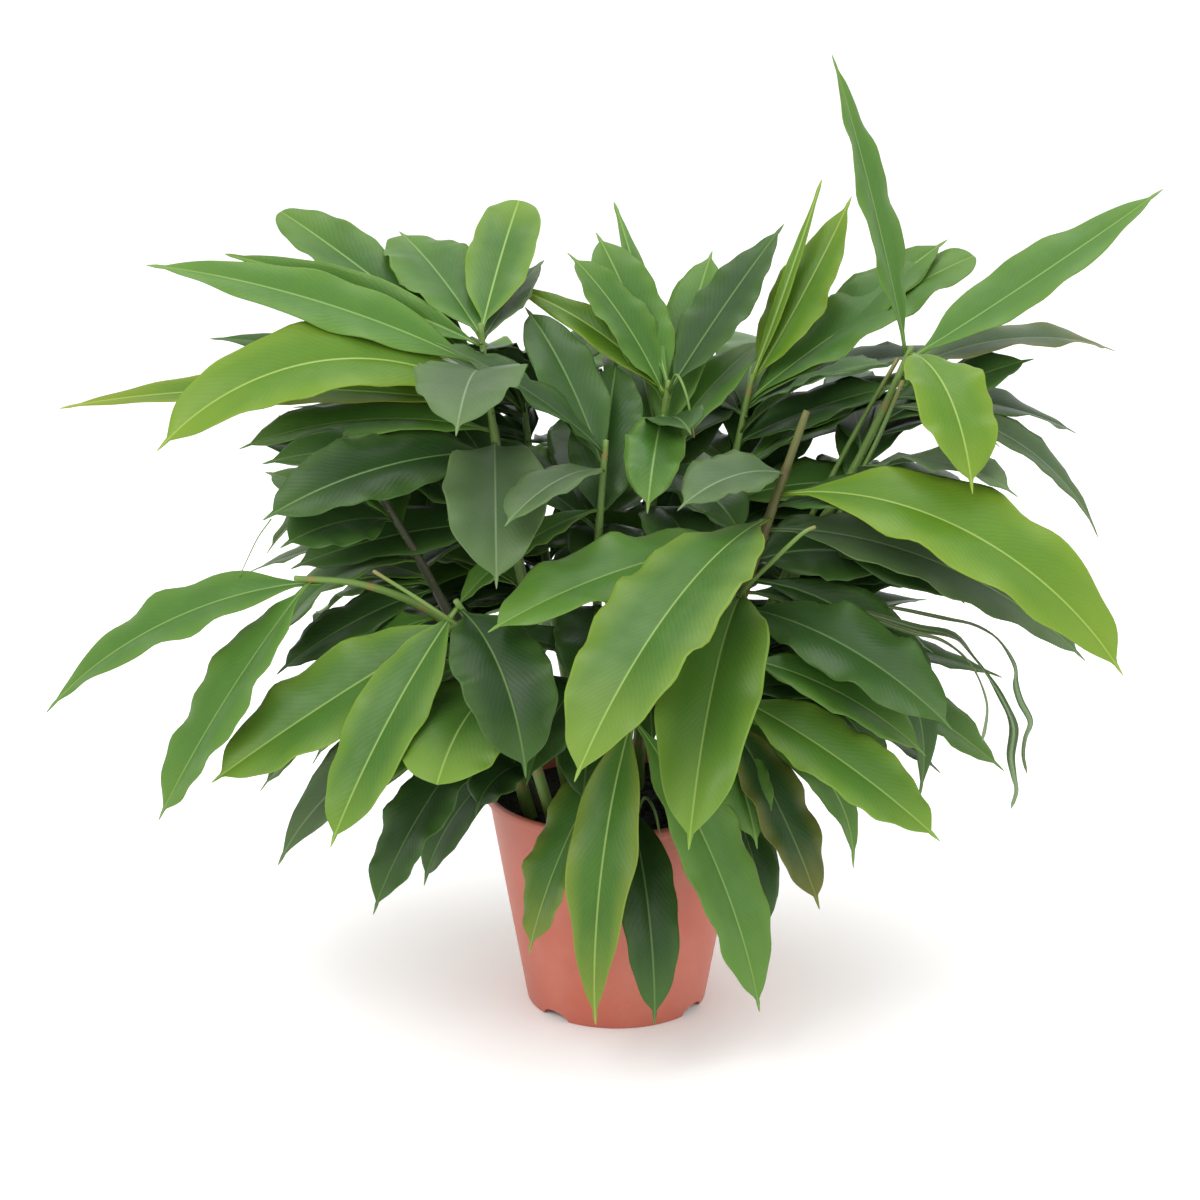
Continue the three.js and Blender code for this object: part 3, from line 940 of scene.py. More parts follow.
@dataclass
class Cane:
    """A cane of the plant, rolled from leaf sheaths, each with a slightly raised rim."""

    node: str
    cut: bool = False
    sides: int = 14
    rows: int = 60
    sheath_step: float = 42 * MM
    sheath_swell: float = 0.1
    snugness: float = 0.95
    rim_from: float = 0.92
    rim_dryness: float = 0.8
    foot_dryness: float = 0.9
    dryness_fall: float = 0.8
    grown_dome: float = 0.45
    cut_dome: float = 0.05
    line: tuple[Vector, ...] = field(init=False)
    radii: tuple[float, ...] = field(init=False)
    length: float = field(init=False)
    start: float = field(init=False)

    def __post_init__(self) -> None:
        """Reads the cane's line and radii from its solid, foot first."""
        rings = solid_rings(self.node)[1:-1]
        centres = [middle(ring) for ring in rings]
        radii = [sum((p - c).length for p in ring) / len(ring) for c, ring in zip(centres, rings)]
        if centres[0].z > centres[-1].z:
            centres.reverse()
            radii.reverse()
        self.line, self.radii = tuple(centres), tuple(radii)
        self.length = line_length(self.line)
        self.start = random.Random(self.node).random()

    def point(self, share: float) -> Vector:
        """The middle of the cane at a share of its length."""
        return smooth_through(self.line, share)

    def sheath_at(self, share: float) -> float:
        """How far up its sheath a point is, from 0 at the sheath's foot to 1 at its rim."""
        return (share * self.length / self.sheath_step + self.start) % 1.0

    def radius_at(self, share: float) -> float:
        """The radius, which grows a little up each sheath and steps in at its rim."""
        return smooth_through(self.radii, share) * (
            self.snugness + self.sheath_swell * (self.sheath_at(share) - 0.5)
        )

    def rim_at(self, share: float) -> float:
        """Tells how dry the skin is: the rims always, and the lower sheaths of a cut cane.

        Args:
            share: Where along the cane, 0 at its foot.

        Returns:
            0 for living skin, 1 for dry skin.
        """
        if self.sheath_at(share) > self.rim_from:
            return self.rim_dryness
        return max(0.0, self.foot_dryness - self.dryness_fall * share) if self.cut else 0.0

    def build(self, material: Material, slot: str) -> Object:
        """Builds the cane.

        Args:
            material: Its skin.
            slot: The record's material slot; not used.

        Returns:
            The cane's piece.
        """
        mesh = bmesh.new()
        dome = self.cut_dome if self.cut else self.grown_dome
        lay_tube(mesh, self.line, self.radius_at, self.rim_at, self.sides, self.rows, dome)
        bmesh.ops.recalc_face_normals(mesh, faces=mesh.faces)
        return finish_piece(mesh, self.node.replace("cane", "stem"), [material], (self.node,))


@dataclass
class Offshoots:
    """The small bare parts: stubs of lost leaves, thin side stems and dried hairs, in one piece.

    Each strand has the points it runs through, then its foot and top radius, all in millimetres.
    """

    sides: int = 8
    rows: int = 20
    dome: float = 0.4
    dryness_rise: float = 5.0
    dryness_start: float = 4.2
    strands: tuple[tuple[tuple[Point, ...], float, float], ...] = (
        (((-88, -98, 296), (-100, -114, 313), (-130, -126, 339), (-161, -130, 361)), 1.7, 1.3),
        (((88, -20, 300), (84, -46, 318), (106, -57, 346), (125, -60, 366), (134, -60, 371)), 2.0, 1.3),
        (((36, 34, 442), (41, 14, 459), (48, 3, 446), (53, 0, 418)), 1.2, 0.8),
        (((10, -62, 150), (18, -84, 183), (25, -97, 180), (29, -100, 163)), 1.3, 0.8),
        (((112, 26, 295), (138, 34, 352), (168, 38, 412), (196, 34, 466)), 2.4, 1.5),
        (((118, 16, 300), (152, 14, 352), (178, 16, 404), (199, 26, 452)), 2.2, 1.4),
        (((-230, -104, 389), (-240, -96, 374), (-248, -93, 358), (-254, -92, 345)), 0.5, 0.3),
        (((60, -18, 222), (44, -38, 250), (36, -58, 262), (30, -84, 250)), 1.4, 1.0),
    )

    def build(self, material: Material) -> Object:
        """Builds every strand.

        Args:
            material: Their skin.

        Returns:
            The piece.
        """
        mesh = bmesh.new()
        for points, foot, top in self.strands:
            line = tuple(Vector(p) * MM for p in points)
            lay_tube(
                mesh, line, lambda share, a=foot, b=top: (a + (b - a) * share) * MM,
                lambda share: max(0.0, self.dryness_rise * share - self.dryness_start),
                self.sides, self.rows, self.dome,
            )
        bmesh.ops.recalc_face_normals(mesh, faces=mesh.faces)
        return finish_piece(mesh, "side_stems_and_stubs", [material])


@dataclass
class TornLeaf:
    """A leaf torn lengthwise into narrow strips, which hang curled on the plant's right.

    Each strip has the points it runs through and its width in millimetres, and its twist in degrees.
    """

    shade: float = -0.5
    dryness: float = 0.5
    rows: int = 60
    thickness: float = 0.9 * MM
    strips: tuple[tuple[tuple[Point, ...], float, float], ...] = (
        (((112, 22, 292), (150, -20, 306), (190, -60, 299), (222, -62, 291), (242, -60, 274),
          (252, -62, 255), (256, -58, 236), (253, -60, 216)), 6, 160),
        (((112, 22, 289), (152, -10, 300), (196, -52, 298), (230, -56, 292), (250, -54, 270),
          (264, -60, 250), (275, -54, 224), (273, -60, 200), (279, -56, 182), (275, -60, 166)), 11, -200),
        (((112, 22, 286), (160, -4, 300), (222, -48, 303), (256, -50, 293), (274, -54, 270),
          (277, -48, 248), (287, -52, 228), (283, -48, 208), (286, -54, 190)), 7, 240),
    )

    def build(self, materials: list[Material]) -> Object:
        """Builds the strips in one piece.

        Args:
            materials: The upper and lower sides.

        Returns:
            The piece.
        """
        mesh = bmesh.new()
        for i, (points, width, twist) in enumerate(self.strips):
            course = Course.of_points(list(points), width * MM, twist)
            strip = Blade(
                course, f"strip{i}", self.shade, self.dryness, stalk=0.0, rows=self.rows, tip=TipForm.LONG
            )
            strip.lay(mesh)
        piece = finish_piece(mesh, "torn_leaf", materials)
        thicken(piece, self.thickness)
        return piece


@dataclass
class Foliage:
    """All leaves: one piece for each solid, and one for each cane's smaller leaves of one tone.

    The inner leaves grow from random places on the canes. They end inside the crown, whose sizes are
    in millimetres, and leave the plant's face and the open canes in view.
    """

    materials: dict[Tone, list[Material]]
    canes: dict[str, Cane]
    plans: dict[str, tuple[LeafPlan, ...]]
    fill_tries: int = 9000
    fill_count: int = 150
    heart: Vector = field(default_factory=lambda: Vector((0.0, 0.03, 0.30)))
    stalk_thickness: float = 1.7 * MM
    front_depth: float = 125 * MM
    open_canes: tuple[str, ...] = ("cut_top", "high_right")
    clearing: Vector = field(default_factory=lambda: Vector((0.13, -0.08, 0.42)))
    clearing_reach: float = 60 * MM
    start_range: Pair = (0.3, 0.97)
    heading_spread: float = 1.1
    reach_range: Pair = (120, 215)
    climb_range: Pair = (-38, 30)
    climb_gain: float = 45
    climb_middle: float = 0.7
    width_range: Pair = (38, 58)
    arch_range: Pair = (4, 26)
    lean: float = 24
    # The sheen tone among these paints a sheen into some inner leaves.
    tones: tuple[Tone, ...] = (Tone.DARK, Tone.GREEN, Tone.PAINTED_SHEEN)
    tone_weights: tuple[int, ...] = (5, 3, 1)
    crown_middle: float = 10
    crown_half: float = 275
    crown_depth: Pair = (-105, 270)
    crown_foot: float = 175
    crown_top: float = 515
    crown_back_fall: float = 0.25
    crown_side_fall: float = 0.12
    watched_shares: tuple[float, ...] = (0.25, 0.45, 0.65, 0.85, 1.0)
    solid_shades: Pair = (-0.3, 0.15)
    spray_shades: Pair = (-0.3, 0.2)
    spray_rows: int = 22
    spray_across: tuple[float, ...] = (-1, -0.8, -0.45, -0.1, 0, 0.1, 0.45, 0.8, 1)
    trees: list[BVHTree] = field(default_factory=list)
    shown: list[BVHTree] = field(default_factory=list)

    def build(self) -> int:
        """Builds every leaf.

        Returns:
            How many leaves there are.
        """
        slots = {part["node"]: part["material_slot"] for part in frame["record"]["subparts"]}
        count = 0
        for node in sorted(frame["nodes"]):
            if node.startswith("leaf_"):
                self.build_solid_leaf(node, Tone(slots[node]))
                count += 1
        for name in self.canes:
            self.trees.append(self.solid_tree(f"cane_{name}"))
            if name in self.open_canes:
                self.shown.append(self.trees[-1])
        sprays = {name: [*self.plans.get(name, ())] for name in self.canes}
        for name, plans in sprays.items():
            for plan in plans:
                self.trees.append(Blade(self.course_of(name, plan), name).tree())
                self.shown.append(self.trees[-1])
        self.fill(sprays)
        for name, plans in sprays.items():
            count += self.build_spray(name, plans)
        return count

    def solid_tree(self, node: str) -> BVHTree:
        """The surface of a solid, for telling whether a blade crosses it."""
        data = frame["nodes"][node].data
        return BVHTree.FromPolygons([v.co for v in data.vertices], [p.vertices for p in data.polygons])

    def course_of(self, name: str, plan: LeafPlan) -> Course:
        """The line of a planned leaf on its cane."""
        base, tip = self.canes[name].point(plan.at), Vector(plan.tip) * MM
        return Course.of_sweep(base, tip, plan.width * MM, plan.arch * MM, plan.roll)

    def fill(self, sprays: dict[str, list[LeafPlan]]) -> None:
        """Adds the many inner leaves, each where it crosses no other.

        Args:
            sprays: The planned leaves of each cane, which the new leaves join.
        """
        chance = random.Random("inner leaves")
        names = sorted(sprays)
        added = 0
        for _ in range(self.fill_tries):
            if added == self.fill_count:
                break
            name = chance.choice(names)
            at = chance.uniform(*self.start_range)
            base = self.canes[name].point(at)
            outward = base - self.heart
            heading = math.atan2(outward.y, outward.x) + chance.gauss(0, self.heading_spread)
            reach = chance.uniform(*self.reach_range) * MM
            climb = math.radians(
                chance.uniform(*self.climb_range) + self.climb_gain * (at - self.climb_middle)
            )
            level = math.cos(climb)
            ahead = Vector((math.cos(heading) * level, math.sin(heading) * level, math.sin(climb)))
            tip = base + reach * ahead
            if not self.holds(tip):
                continue
            lean = self.lean if ahead.x > 0 else -self.lean
            tone = chance.choices(self.tones, self.tone_weights)[0]
            plan = LeafPlan(
                at, tuple(tip / MM), chance.uniform(*self.width_range), chance.uniform(*self.arch_range),
                lean * chance.random(), tone,
            )
            blade = Blade(self.course_of(name, plan), name)
            tree = blade.tree()
            if any(tree.overlap(other) for other in self.trees) or self.hides(blade):
                continue
            self.trees.append(tree)
            sprays[name].append(plan)
            added += 1
        LOG.info("placed %d inner leaves", added)

    def hides(self, blade: Blade) -> bool:
        """Tells whether a blade would stand before the plant's face or end at the cut cane's open top.

        Args:
            blade: The blade.

        Returns:
            True where it would.
        """
        if (blade.course.spine[-1] - self.clearing).length < self.clearing_reach:
            return True
        eye = bpy.context.scene.camera.location
        for share in self.watched_shares:
            centre, across, _ = blade.course.section(share)
            half = blade.half_at(share)
            for side in (-1, 1):
                point = centre + across * (side * half)
                away = (point - eye).normalized()
                if any(tree.ray_cast(point, away)[0] for tree in self.shown):
                    return True
        return False

    def holds(self, tip: Vector) -> bool:
        """Tells whether a point is inside the crown, where inner leaves may end.

        Args:
            tip: The point.

        Returns:
            True inside the crown.
        """
        x, y, z = tip / MM
        if abs(x - self.crown_middle) >= self.crown_half:
            return False
        front, back = self.crown_depth
        roof = self.crown_top - self.crown_back_fall * y - self.crown_side_fall * abs(x)
        return front < y < back and self.crown_foot < z < roof

    def build_solid_leaf(self, node: str, tone: Tone) -> None:
        """Builds the leaf that stands for one solid.

        Args:
            node: The solid's node.
            tone: The leaf's tone.
        """
        shade = SHADES.get(node, random.Random(node + "shade").uniform(*self.solid_shades))
        blade = Blade(Course.of_solid(node), node, shade, DRY_TIPS.get(node, 0.0), tip=TIP_FORMS.get(node))
        self.trees.append(blade.tree())
        if blade.course.spine[-1].y < self.front_depth:
            self.shown.append(self.trees[-1])
        mesh = bmesh.new()
        blade.lay(mesh)
        piece = finish_piece(mesh, node.replace("leaf", "blade"), self.materials[tone], (node,))
        thicken(piece, self.stalk_thickness)

    def build_spray(self, name: str, plans: list[LeafPlan]) -> int:
        """Builds the leaves of one cane that have no solid, in one piece.

        Args:
            name: The cane's short name.
            plans: Its leaves.

        Returns:
            How many leaves the piece holds.
        """
        sprays: dict[Tone, BMesh] = {}
        for i, plan in enumerate(plans):
            shade = random.Random(f"{name}{i}shade").uniform(*self.spray_shades)
            blade = Blade(
                self.course_of(name, plan), f"{name}{i}", shade,
                rows=self.spray_rows, across=self.spray_across,
            )
            if plan.tone not in sprays:
                sprays[plan.tone] = bmesh.new()
            blade.lay(sprays[plan.tone])
        for tone, mesh in sprays.items():
            tone_name = tone.name.lower()
            piece = finish_piece(mesh, f"spray_{name}_{tone_name}", self.materials[tone])
            thicken(piece, self.stalk_thickness)
        return len(plans)


@dataclass
class NurseryPot:
    """The tapered plastic pot: foot ring, raised base with drain holes, thin wall and rolled lip."""

    foot_radius: float = 65 * MM
    neck_radius: float = 92 * MM
    lip_radius: float = 95 * MM
    height: float = 162 * MM
    lip_depth: float = 7 * MM
    wall: float = 2 * MM
    base_lift: float = 7 * MM
    notch_headings: tuple[float, ...] = (-133, -33, 47, 147)
    notch_width: float = 24 * MM
    notch_height: float = 6 * MM
    notch_depth: float = 16 * MM
    notch_steps: int = 40
    drain_radius: float = 5 * MM
    drain_offset: float = 46 * MM
    drain_steps: int = 32
    steps: int = 160
    rise_shares: tuple[float, ...] = (0.1, 0.25, 0.4, 0.55, 0.7, 0.85)
    sharp_angle: float = 40

    def radius_at(self, height: float) -> float:
        """The outer radius of the tapered wall at a height."""
        share = height / (self.height - self.lip_depth)
        return self.foot_radius + share * (self.neck_radius - self.foot_radius)

    def outline(self) -> list[Pair]:
        """Draws the wall's outline, from the base's underside round to its top.

        Returns:
            Radius and height of each corner, with offsets of up to 3.3 mm that ease the edges.
        """
        lip_foot = self.height - self.lip_depth
        floor = self.base_lift + self.wall
        rise = [self.height * share for share in self.rise_shares]
        outer = [(self.radius_at(h), h) for h in rise]
        inner = [(self.radius_at(h) - self.wall, h) for h in reversed(rise)]
        roll = self.lip_radius - 1.2 * MM
        return [
            (0.0, self.base_lift),
            (self.radius_at(self.base_lift) - self.wall - 1 * MM, self.base_lift),
            (self.foot_radius - self.wall, 0.4 * MM), (self.foot_radius - 1.6 * MM, 0.0),
            (self.foot_radius - 0.4 * MM, 0.0), (self.foot_radius, 0.5 * MM),
            *outer,
            (self.neck_radius - 0.2 * MM, lip_foot - 0.6 * MM), (self.neck_radius + 0.6 * MM, lip_foot),
            (self.lip_radius - 0.6 * MM, lip_foot + 0.2 * MM), (self.lip_radius, lip_foot + 1 * MM),
            (self.lip_radius, self.height - 2 * MM), (self.lip_radius - 0.3 * MM, self.height - 0.8 * MM),
            (roll, self.height), (roll - 1.4 * MM, self.height),
            (self.lip_radius - 3.3 * MM, self.height - 0.6 * MM),
            (self.neck_radius - self.wall + 0.3 * MM, lip_foot),
            *inner,
            (self.radius_at(floor) - self.wall, floor + 2 * MM),
            (self.radius_at(floor) - self.wall - 2 * MM, floor), (0.0, floor),
        ]

    def build(self, material: Material) -> Object:
        """Turns the pot, then cuts its notches and drain holes.

        Args:
            material: The pot's plastic.

        Returns:
            The pot's piece.
        """
        mesh = bmesh.new()
        turn_round(mesh, self.outline(), self.steps)
        bmesh.ops.recalc_face_normals(mesh, faces=mesh.faces)
        piece = finish_piece(mesh, "nursery_pot", [material], ("pot",))
        cutter = self.cutter()
        cut = piece.modifiers.new("notches_and_drains", "BOOLEAN")
        cut.operation = "DIFFERENCE"
        cut.solver = "EXACT"
        cut.object = cutter
        bpy.context.view_layer.update()
        shaped = bpy.data.meshes.new_from_object(piece.evaluated_get(bpy.context.evaluated_depsgraph_get()))
        piece.modifiers.clear()
        piece.data = shaped
        shaped.set_sharp_from_angle(angle=math.radians(self.sharp_angle))
        bpy.data.objects.remove(cutter)
        return piece

    def cutter(self) -> Object:
        """Makes the closed shapes that cut the notches and the drain holes.

        Returns:
            The cutter, for the caller to remove.
        """
        mesh = bmesh.new()
        for heading in self.notch_headings:
            turn = Matrix.Rotation(math.radians(heading), 4, "Z")
            squash = Matrix.Diagonal((1, 1, self.notch_height / (self.notch_width / 2), 1))
            lying = Matrix.Rotation(math.pi / 2, 4, "Y")
            bmesh.ops.create_cone(
                mesh, cap_ends=True, segments=self.notch_steps, radius1=self.notch_width / 2,
                radius2=self.notch_width / 2, depth=self.notch_depth,
                matrix=turn @ Matrix.Translation((self.foot_radius, 0, 0)) @ squash @ lying,
            )
            bmesh.ops.create_cone(
                mesh, cap_ends=True, segments=self.drain_steps, radius1=self.drain_radius,
                radius2=self.drain_radius, depth=5 * self.wall,
                matrix=turn @ Matrix.Translation((self.drain_offset, 0, self.base_lift + self.wall / 2)),
            )
        bmesh.ops.recalc_face_normals(mesh, faces=mesh.faces)
        return new_object(mesh, "pot_cutter")


@dataclass
class PottingSoil:
    """The soil: a slightly mounded, crumbly top over a plug that fills the pot."""

    radius: float = 88.5 * MM
    top: float = 146 * MM
    mound: float = 3 * MM
    foot: float = 9.4 * MM
    foot_radius: float = 64 * MM
    rim_inset: float = 0.5 * MM
    rim_drop: float = 4 * MM
    rings: int = 34
    steps: int = 96
    lump_size: float = 14 * MM
    lump_height: float = 2.2 * MM
    lump_level: float = 0.3
    crumbs: int = 320
    crumb_sizes: Pair = (0.8, 2.6)
    crumb_spread: float = 0.97
    crumb_sink: float = 0.4 * MM

    def build(self, material: Material) -> Object:
        """Builds the soil and its loose crumbs in one piece.

        Args:
            material: The soil.

        Returns:
            The soil's piece.
        """
        mesh = bmesh.new()
        shares = [i / self.rings for i in range(self.rings + 1)]
        outline = [(self.radius * share, self.top + self.mound * (1 - share**2)) for share in shares]
        outline += [
            (self.radius - self.rim_inset, self.top - self.rim_drop), (self.foot_radius, self.foot),
            (0.0, self.foot),
        ]
        turn_round(mesh, outline, self.steps)
        for vert in mesh.verts:
            reach = math.hypot(vert.co.x, vert.co.y) / self.radius
            if vert.co.z > self.top - 1 * MM and reach < 0.99:
                lump = noise.fractal(vert.co / self.lump_size, 0.6, 2.0, 4)
                vert.co.z += self.lump_height * (lump - self.lump_level) * min(1.0, 8 * (1 - reach))
        chance = random.Random("crumbs")
        for _ in range(self.crumbs):
            reach = self.radius * self.crumb_spread * math.sqrt(chance.random())
            heading = chance.uniform(0, 2 * math.pi)
            size = chance.uniform(*self.crumb_sizes) * MM
            height = self.top + self.mound * (1 - (reach / self.radius) ** 2) - self.crumb_sink
            spot = Matrix.Translation((reach * math.cos(heading), reach * math.sin(heading), height))
            turn = Matrix.Rotation(chance.uniform(0, math.pi), 4, Vector((1, chance.random(), 0.4)))
            stretch = Matrix.Diagonal((1.0, chance.uniform(0.6, 1.0), chance.uniform(0.5, 0.9), 1.0))
            bmesh.ops.create_icosphere(mesh, subdivisions=1, radius=size, matrix=spot @ turn @ stretch)
        bmesh.ops.recalc_face_normals(mesh, faces=mesh.faces)
        return finish_piece(mesh, "potting_soil", [material], ("soil",))


@dataclass
class Studio:
    """The pale floor and backdrop, the soft lights and the camera."""

    target: Point = (-0.012, 0.0, 0.300)
    distance: float = 2.160
    elevation: float = 17.5
    lens: float = 92.07
    sensor: float = 36.0
    floor_colour: str = "#fdfdfc"
    floor_reach: float = 30.0
    floor_drop: float = 0.3 * MM
    floor_roughness: float = 0.9
    floor_specular: float = 0.1
    air_colour: str = "#ffffff"
    air_strength: float = 1.2
    light_side: float = 1.2
    lights: tuple[tuple[str, Point, float], ...] = (
        ("key", (-0.9, -1.5, 1.9), 26.0),
        ("fill", (1.7, -1.1, 1.1), 7.0),
        ("top", (0.1, 0.3, 2.2), 16.0),
    )

    def build(self) -> None:
        """Builds the studio."""
        self.add_camera()
        self.add_floor()
        for name, place, power in self.lights:
            self.add_light(name, place, power)
        world = bpy.data.worlds.new("studio_air")
        world.use_nodes = True
        air = world.node_tree.nodes["Background"]
        feed(air, Color=linear(self.air_colour), Strength=self.air_strength)
        bpy.context.scene.world = world
        bpy.context.scene.view_settings.view_transform = "Standard"

    def add_camera(self) -> None:
        """Adds the camera, level across and looking down at the plant's middle."""
        camera = bpy.data.cameras.new("studio_camera")
        camera.lens = self.lens
        camera.sensor_width = self.sensor
        eye = bpy.data.objects.new("studio_camera", camera)
        pitch = math.radians(self.elevation)
        back = Vector((0.0, -math.cos(pitch), math.sin(pitch))) * self.distance
        eye.location = Vector(self.target) + back
        eye.rotation_euler = (math.pi / 2 - pitch, 0.0, 0.0)
        bpy.context.scene.collection.objects.link(eye)
        bpy.context.scene.camera = eye

    def add_floor(self) -> None:
        """Adds the floor."""
        mesh = bmesh.new()
        bmesh.ops.create_grid(mesh, x_segments=1, y_segments=1, size=self.floor_reach)
        material, shader, _ = new_material("pale_paper_floor")
        feed(
            shader, Base_Color=linear(self.floor_colour), Roughness=self.floor_roughness,
            Specular_IOR_Level=self.floor_specular,
        )
        floor = new_object(mesh, "studio_floor", (material,))
        floor.data.transform(Matrix.Translation((0, 0, -self.floor_drop)))
        floor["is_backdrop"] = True

    def add_light(self, name: str, place: Point, power: float) -> None:
        """Adds a soft light that faces the plant.

        Args:
            name: The light's name.
            place: Where it stands.
            power: Its power in watts.
        """
        light = bpy.data.lights.new(name, "AREA")
        light.size = self.light_side
        light.energy = power
        lamp = bpy.data.objects.new(name, light)
        lamp.location = place
        lamp.rotation_euler = (Vector(self.target) - Vector(place)).to_track_quat("-Z", "Y").to_euler()
        bpy.context.scene.collection.objects.link(lamp)


# Leaves that end otherwise than their slimness tells.
TIP_FORMS: dict[str, TipForm] = {
    "leaf_high_left_1": TipForm.DRIP,
    "leaf_high_left_3": TipForm.BLUNT,
    "leaf_high_left_2": TipForm.BLUNT,
    "leaf_front_left_3": TipForm.BLUNT,
    "leaf_high_back_2": TipForm.BLUNT,
    "leaf_high_right_1": TipForm.LONG,
    "leaf_high_right_2": TipForm.LONG,
    "leaf_high_back_1": TipForm.LONG,
    "leaf_centre_high_1": TipForm.LONG,
}

# How much lighter (below 0) or deeper a leaf is painted than its tone: partly the leaf's own colour, partly
# painted light and shade set to how brightly it is lit.
SHADES: dict[str, float] = {
    "leaf_cut_top_6": -0.9, "leaf_low_right_1": -0.6, "leaf_high_left_8": 0.6, "leaf_front_left_4": 0.6,
    "leaf_cut_top_3": -0.6, "leaf_centre_1": -0.4, "leaf_low_left_1": -0.4, "leaf_high_left_4": -0.4,
    "leaf_high_right_1": -0.4, "leaf_high_right_2": -0.4, "leaf_high_left_3": 0.1, "leaf_cut_top_1": 0.1,
    "leaf_high_left_1": 0.1, "leaf_front_4": -0.4, "leaf_high_left_2": 0.3, "leaf_low_right_2": 0.2,
}

# How far a leaf has dried at its edge and tip.
DRY_TIPS: dict[str, float] = {
    "leaf_front_1": 0.35, "leaf_front_2": 0.25, "leaf_high_left_6": 0.3, "leaf_low_right_2": 0.4,
    "leaf_cut_top_1": 0.08, "leaf_high_right_4": 0.3,
}
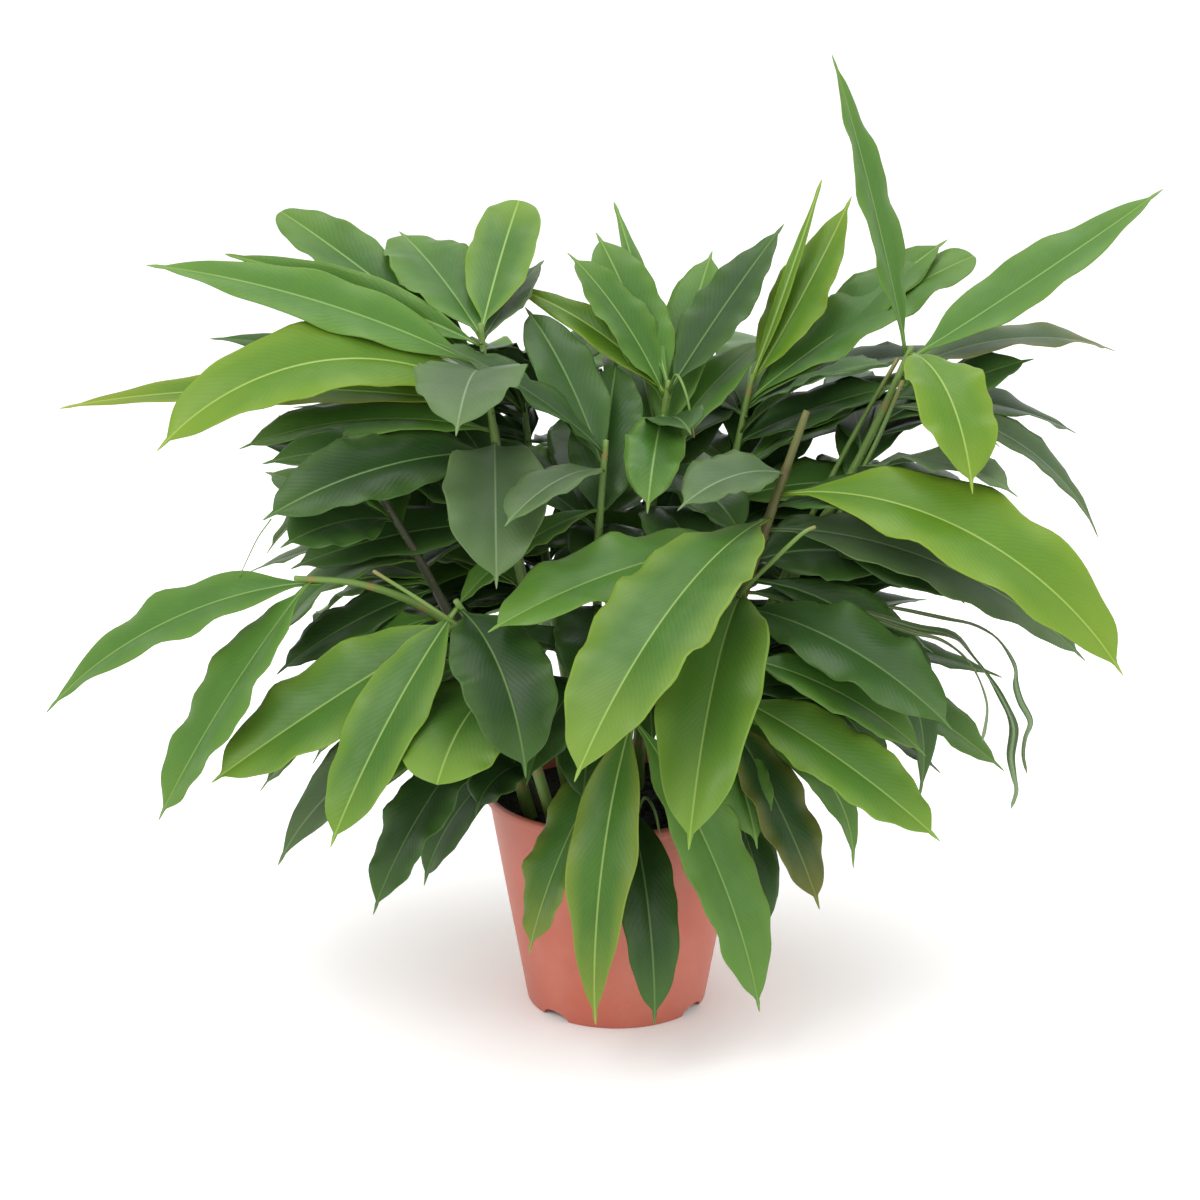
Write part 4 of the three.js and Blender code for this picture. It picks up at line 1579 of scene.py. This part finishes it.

# The smaller leaves in sight, by cane: start, tip in mm, width, arch, roll and tone; the sheen tone is a
# painted sheen.
PLANS: dict[str, tuple[LeafPlan, ...]] = {
    "high_left": (
        LeafPlan(0.97, (-52, 114, 520), 28, 4, 0, Tone.PAINTED_SHEEN),
        LeafPlan(0.96, (-275, 60, 535), 30, 6, -70, Tone.GREEN),
        LeafPlan(0.86, (-290, 80, 470), 42, 10, -20, Tone.DARK),
        LeafPlan(0.8, (-260, -20, 415), 46, 16, -20, Tone.GREEN),
        LeafPlan(0.74, (-240, -60, 415), 42, 12, -30, Tone.DARK),
        LeafPlan(0.62, (-225, -40, 335), 45, 10, -30, Tone.DARK),
    ),
    "mid_left": (
        LeafPlan(0.62, (-235, -60, 265), 40, 8, -20, Tone.DARK),
        LeafPlan(0.5, (-190, 60, 250), 44, 10, -20, Tone.DARK),
    ),
    "front_left": (
        LeafPlan(0.6, (-238, -64, 125), 48, 26, -62, Tone.PAINTED_SHEEN),
        LeafPlan(0.42, (-136, -60, 108), 36, 14, -50, Tone.DARK),
        LeafPlan(0.36, (-98, -92, 172), 46, 14, -10, Tone.DARK),
        LeafPlan(0.62, (-175, -120, 200), 44, 12, -24, Tone.GREEN),
    ),
    "centre": (
        LeafPlan(0.97, (-125, -20, 490), 44, 8, -10, Tone.DARK),
        LeafPlan(0.93, (-74, -146, 396), 42, 12, 0, Tone.PAINTED_SHEEN),
        LeafPlan(0.42, (-62, -118, 205), 52, 22, 0, Tone.DARK),
        LeafPlan(0.36, (-24, -124, 190), 46, 20, 0, Tone.DARK),
        LeafPlan(0.6, (-20, -118, 262), 52, 20, 0, Tone.DARK),
    ),
    "centre_high": (
        LeafPlan(0.93, (20, -60, 380), 42, 12, 0, Tone.GREEN),
        LeafPlan(0.72, (62, -70, 318), 56, 20, 0, Tone.DARK),
        LeafPlan(0.66, (8, -74, 322), 56, 20, 0, Tone.DARK),
        LeafPlan(0.8, (88, -30, 352), 52, 14, 10, Tone.DARK),
        LeafPlan(0.86, (70, 150, 520), 44, 6, 0, Tone.GREEN),
        LeafPlan(0.9, (50, -40, 430), 40, 10, 10, Tone.DARK),
        LeafPlan(0.99, (-2, 150, 556), 17, 3, 0, Tone.GREEN),
        LeafPlan(0.97, (-80, 92, 506), 28, 12, -34, Tone.YOUNG),
        LeafPlan(0.6, (-34, -30, 330), 56, 24, 0, Tone.DARK),
    ),
    "high_back": (
        LeafPlan(0.99, (146, 116, 578), 12, -2, 0, Tone.YOUNG),
        LeafPlan(0.6, (22, -18, 338), 56, 22, 0, Tone.DARK),
        LeafPlan(0.93, (240, 140, 530), 46, 4, 20, Tone.GREEN),
        LeafPlan(0.85, (200, 60, 440), 44, 6, 20, Tone.DARK),
    ),
    "high_right": (
        LeafPlan(0.88, (340, 20, 340), 40, 30, 18, Tone.PAINTED_SHEEN),
        LeafPlan(0.84, (295, 60, 460), 44, 6, 20, Tone.DARK),
        LeafPlan(0.62, (240, -40, 310), 60, 12, 24, Tone.DARK),
    ),
    "cut_top": (
        LeafPlan(0.86, (40, -70, 385), 50, 12, -16, Tone.PAINTED_SHEEN),
        LeafPlan(0.62, (213, -40, 165), 46, 52, 50, Tone.DARK),
        LeafPlan(0.66, (196, 4, 322), 60, 12, 34, Tone.DARK),
    ),
    "low_right": (
        LeafPlan(0.85, (210, -100, 220), 45, 12, 24, Tone.GREEN),
        LeafPlan(0.55, (95, -120, 160), 40, 10, 10, Tone.GREEN),
        LeafPlan(0.45, (105, -112, 95), 36, 10, 10, Tone.DARK),
        LeafPlan(0.6, (166, -62, 122), 36, 30, 50, Tone.GREEN),
    ),
}


def write_sizes() -> None:
    """Gathers the frame's box and the finished plant's box, and keeps neither."""
    boxes = {"cad": CAD_BOX, "visual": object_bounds()}
    {name: [list(map(float, corner)) for corner in box] for name, box in boxes.items()}


def main() -> None:
    """Builds the plant and its studio."""
    logging.basicConfig(level=logging.INFO, format="%(name)s: %(message)s")
    Studio().build()
    pot = NurseryPot().build(PotFinish().material())
    LOG.info("built %s", pot.name)
    soil = PottingSoil().build(SoilFinish().material())
    LOG.info("built %s", soil.name)
    skin, cut_skin, shaded_skin = (f.material() for f in (CaneFinish(), CUT_CANE_FINISH, SHADED_CANE_FINISH))
    canes = {}
    for node in frame["nodes"]:
        if node.startswith("cane_"):
            name = node.removeprefix("cane_")
            cut = name == "cut_top"
            canes[name] = Cane(node, cut)
            # The mid_left cane wears the darker skin, which is painted shade.
            chosen = {"cut_top": cut_skin, "mid_left": shaded_skin}.get(name, skin)
            canes[name].build(chosen, "dry_cane" if cut else "cane")
    LOG.info("built %d canes", len(canes))
    tones = {finish.tone: [finish.top(), finish.underside()] for finish in LEAF_FINISHES}
    # The torn strips wear the painted sheen finish.
    for piece in (Offshoots().build(skin), TornLeaf().build(tones[Tone.PAINTED_SHEEN])):
        LOG.info("built %s", piece.name)
    count = Foliage(tones, canes, PLANS).build()
    LOG.info("built %d leaves", count)
    write_sizes()


if __name__ == "__main__":
    main()
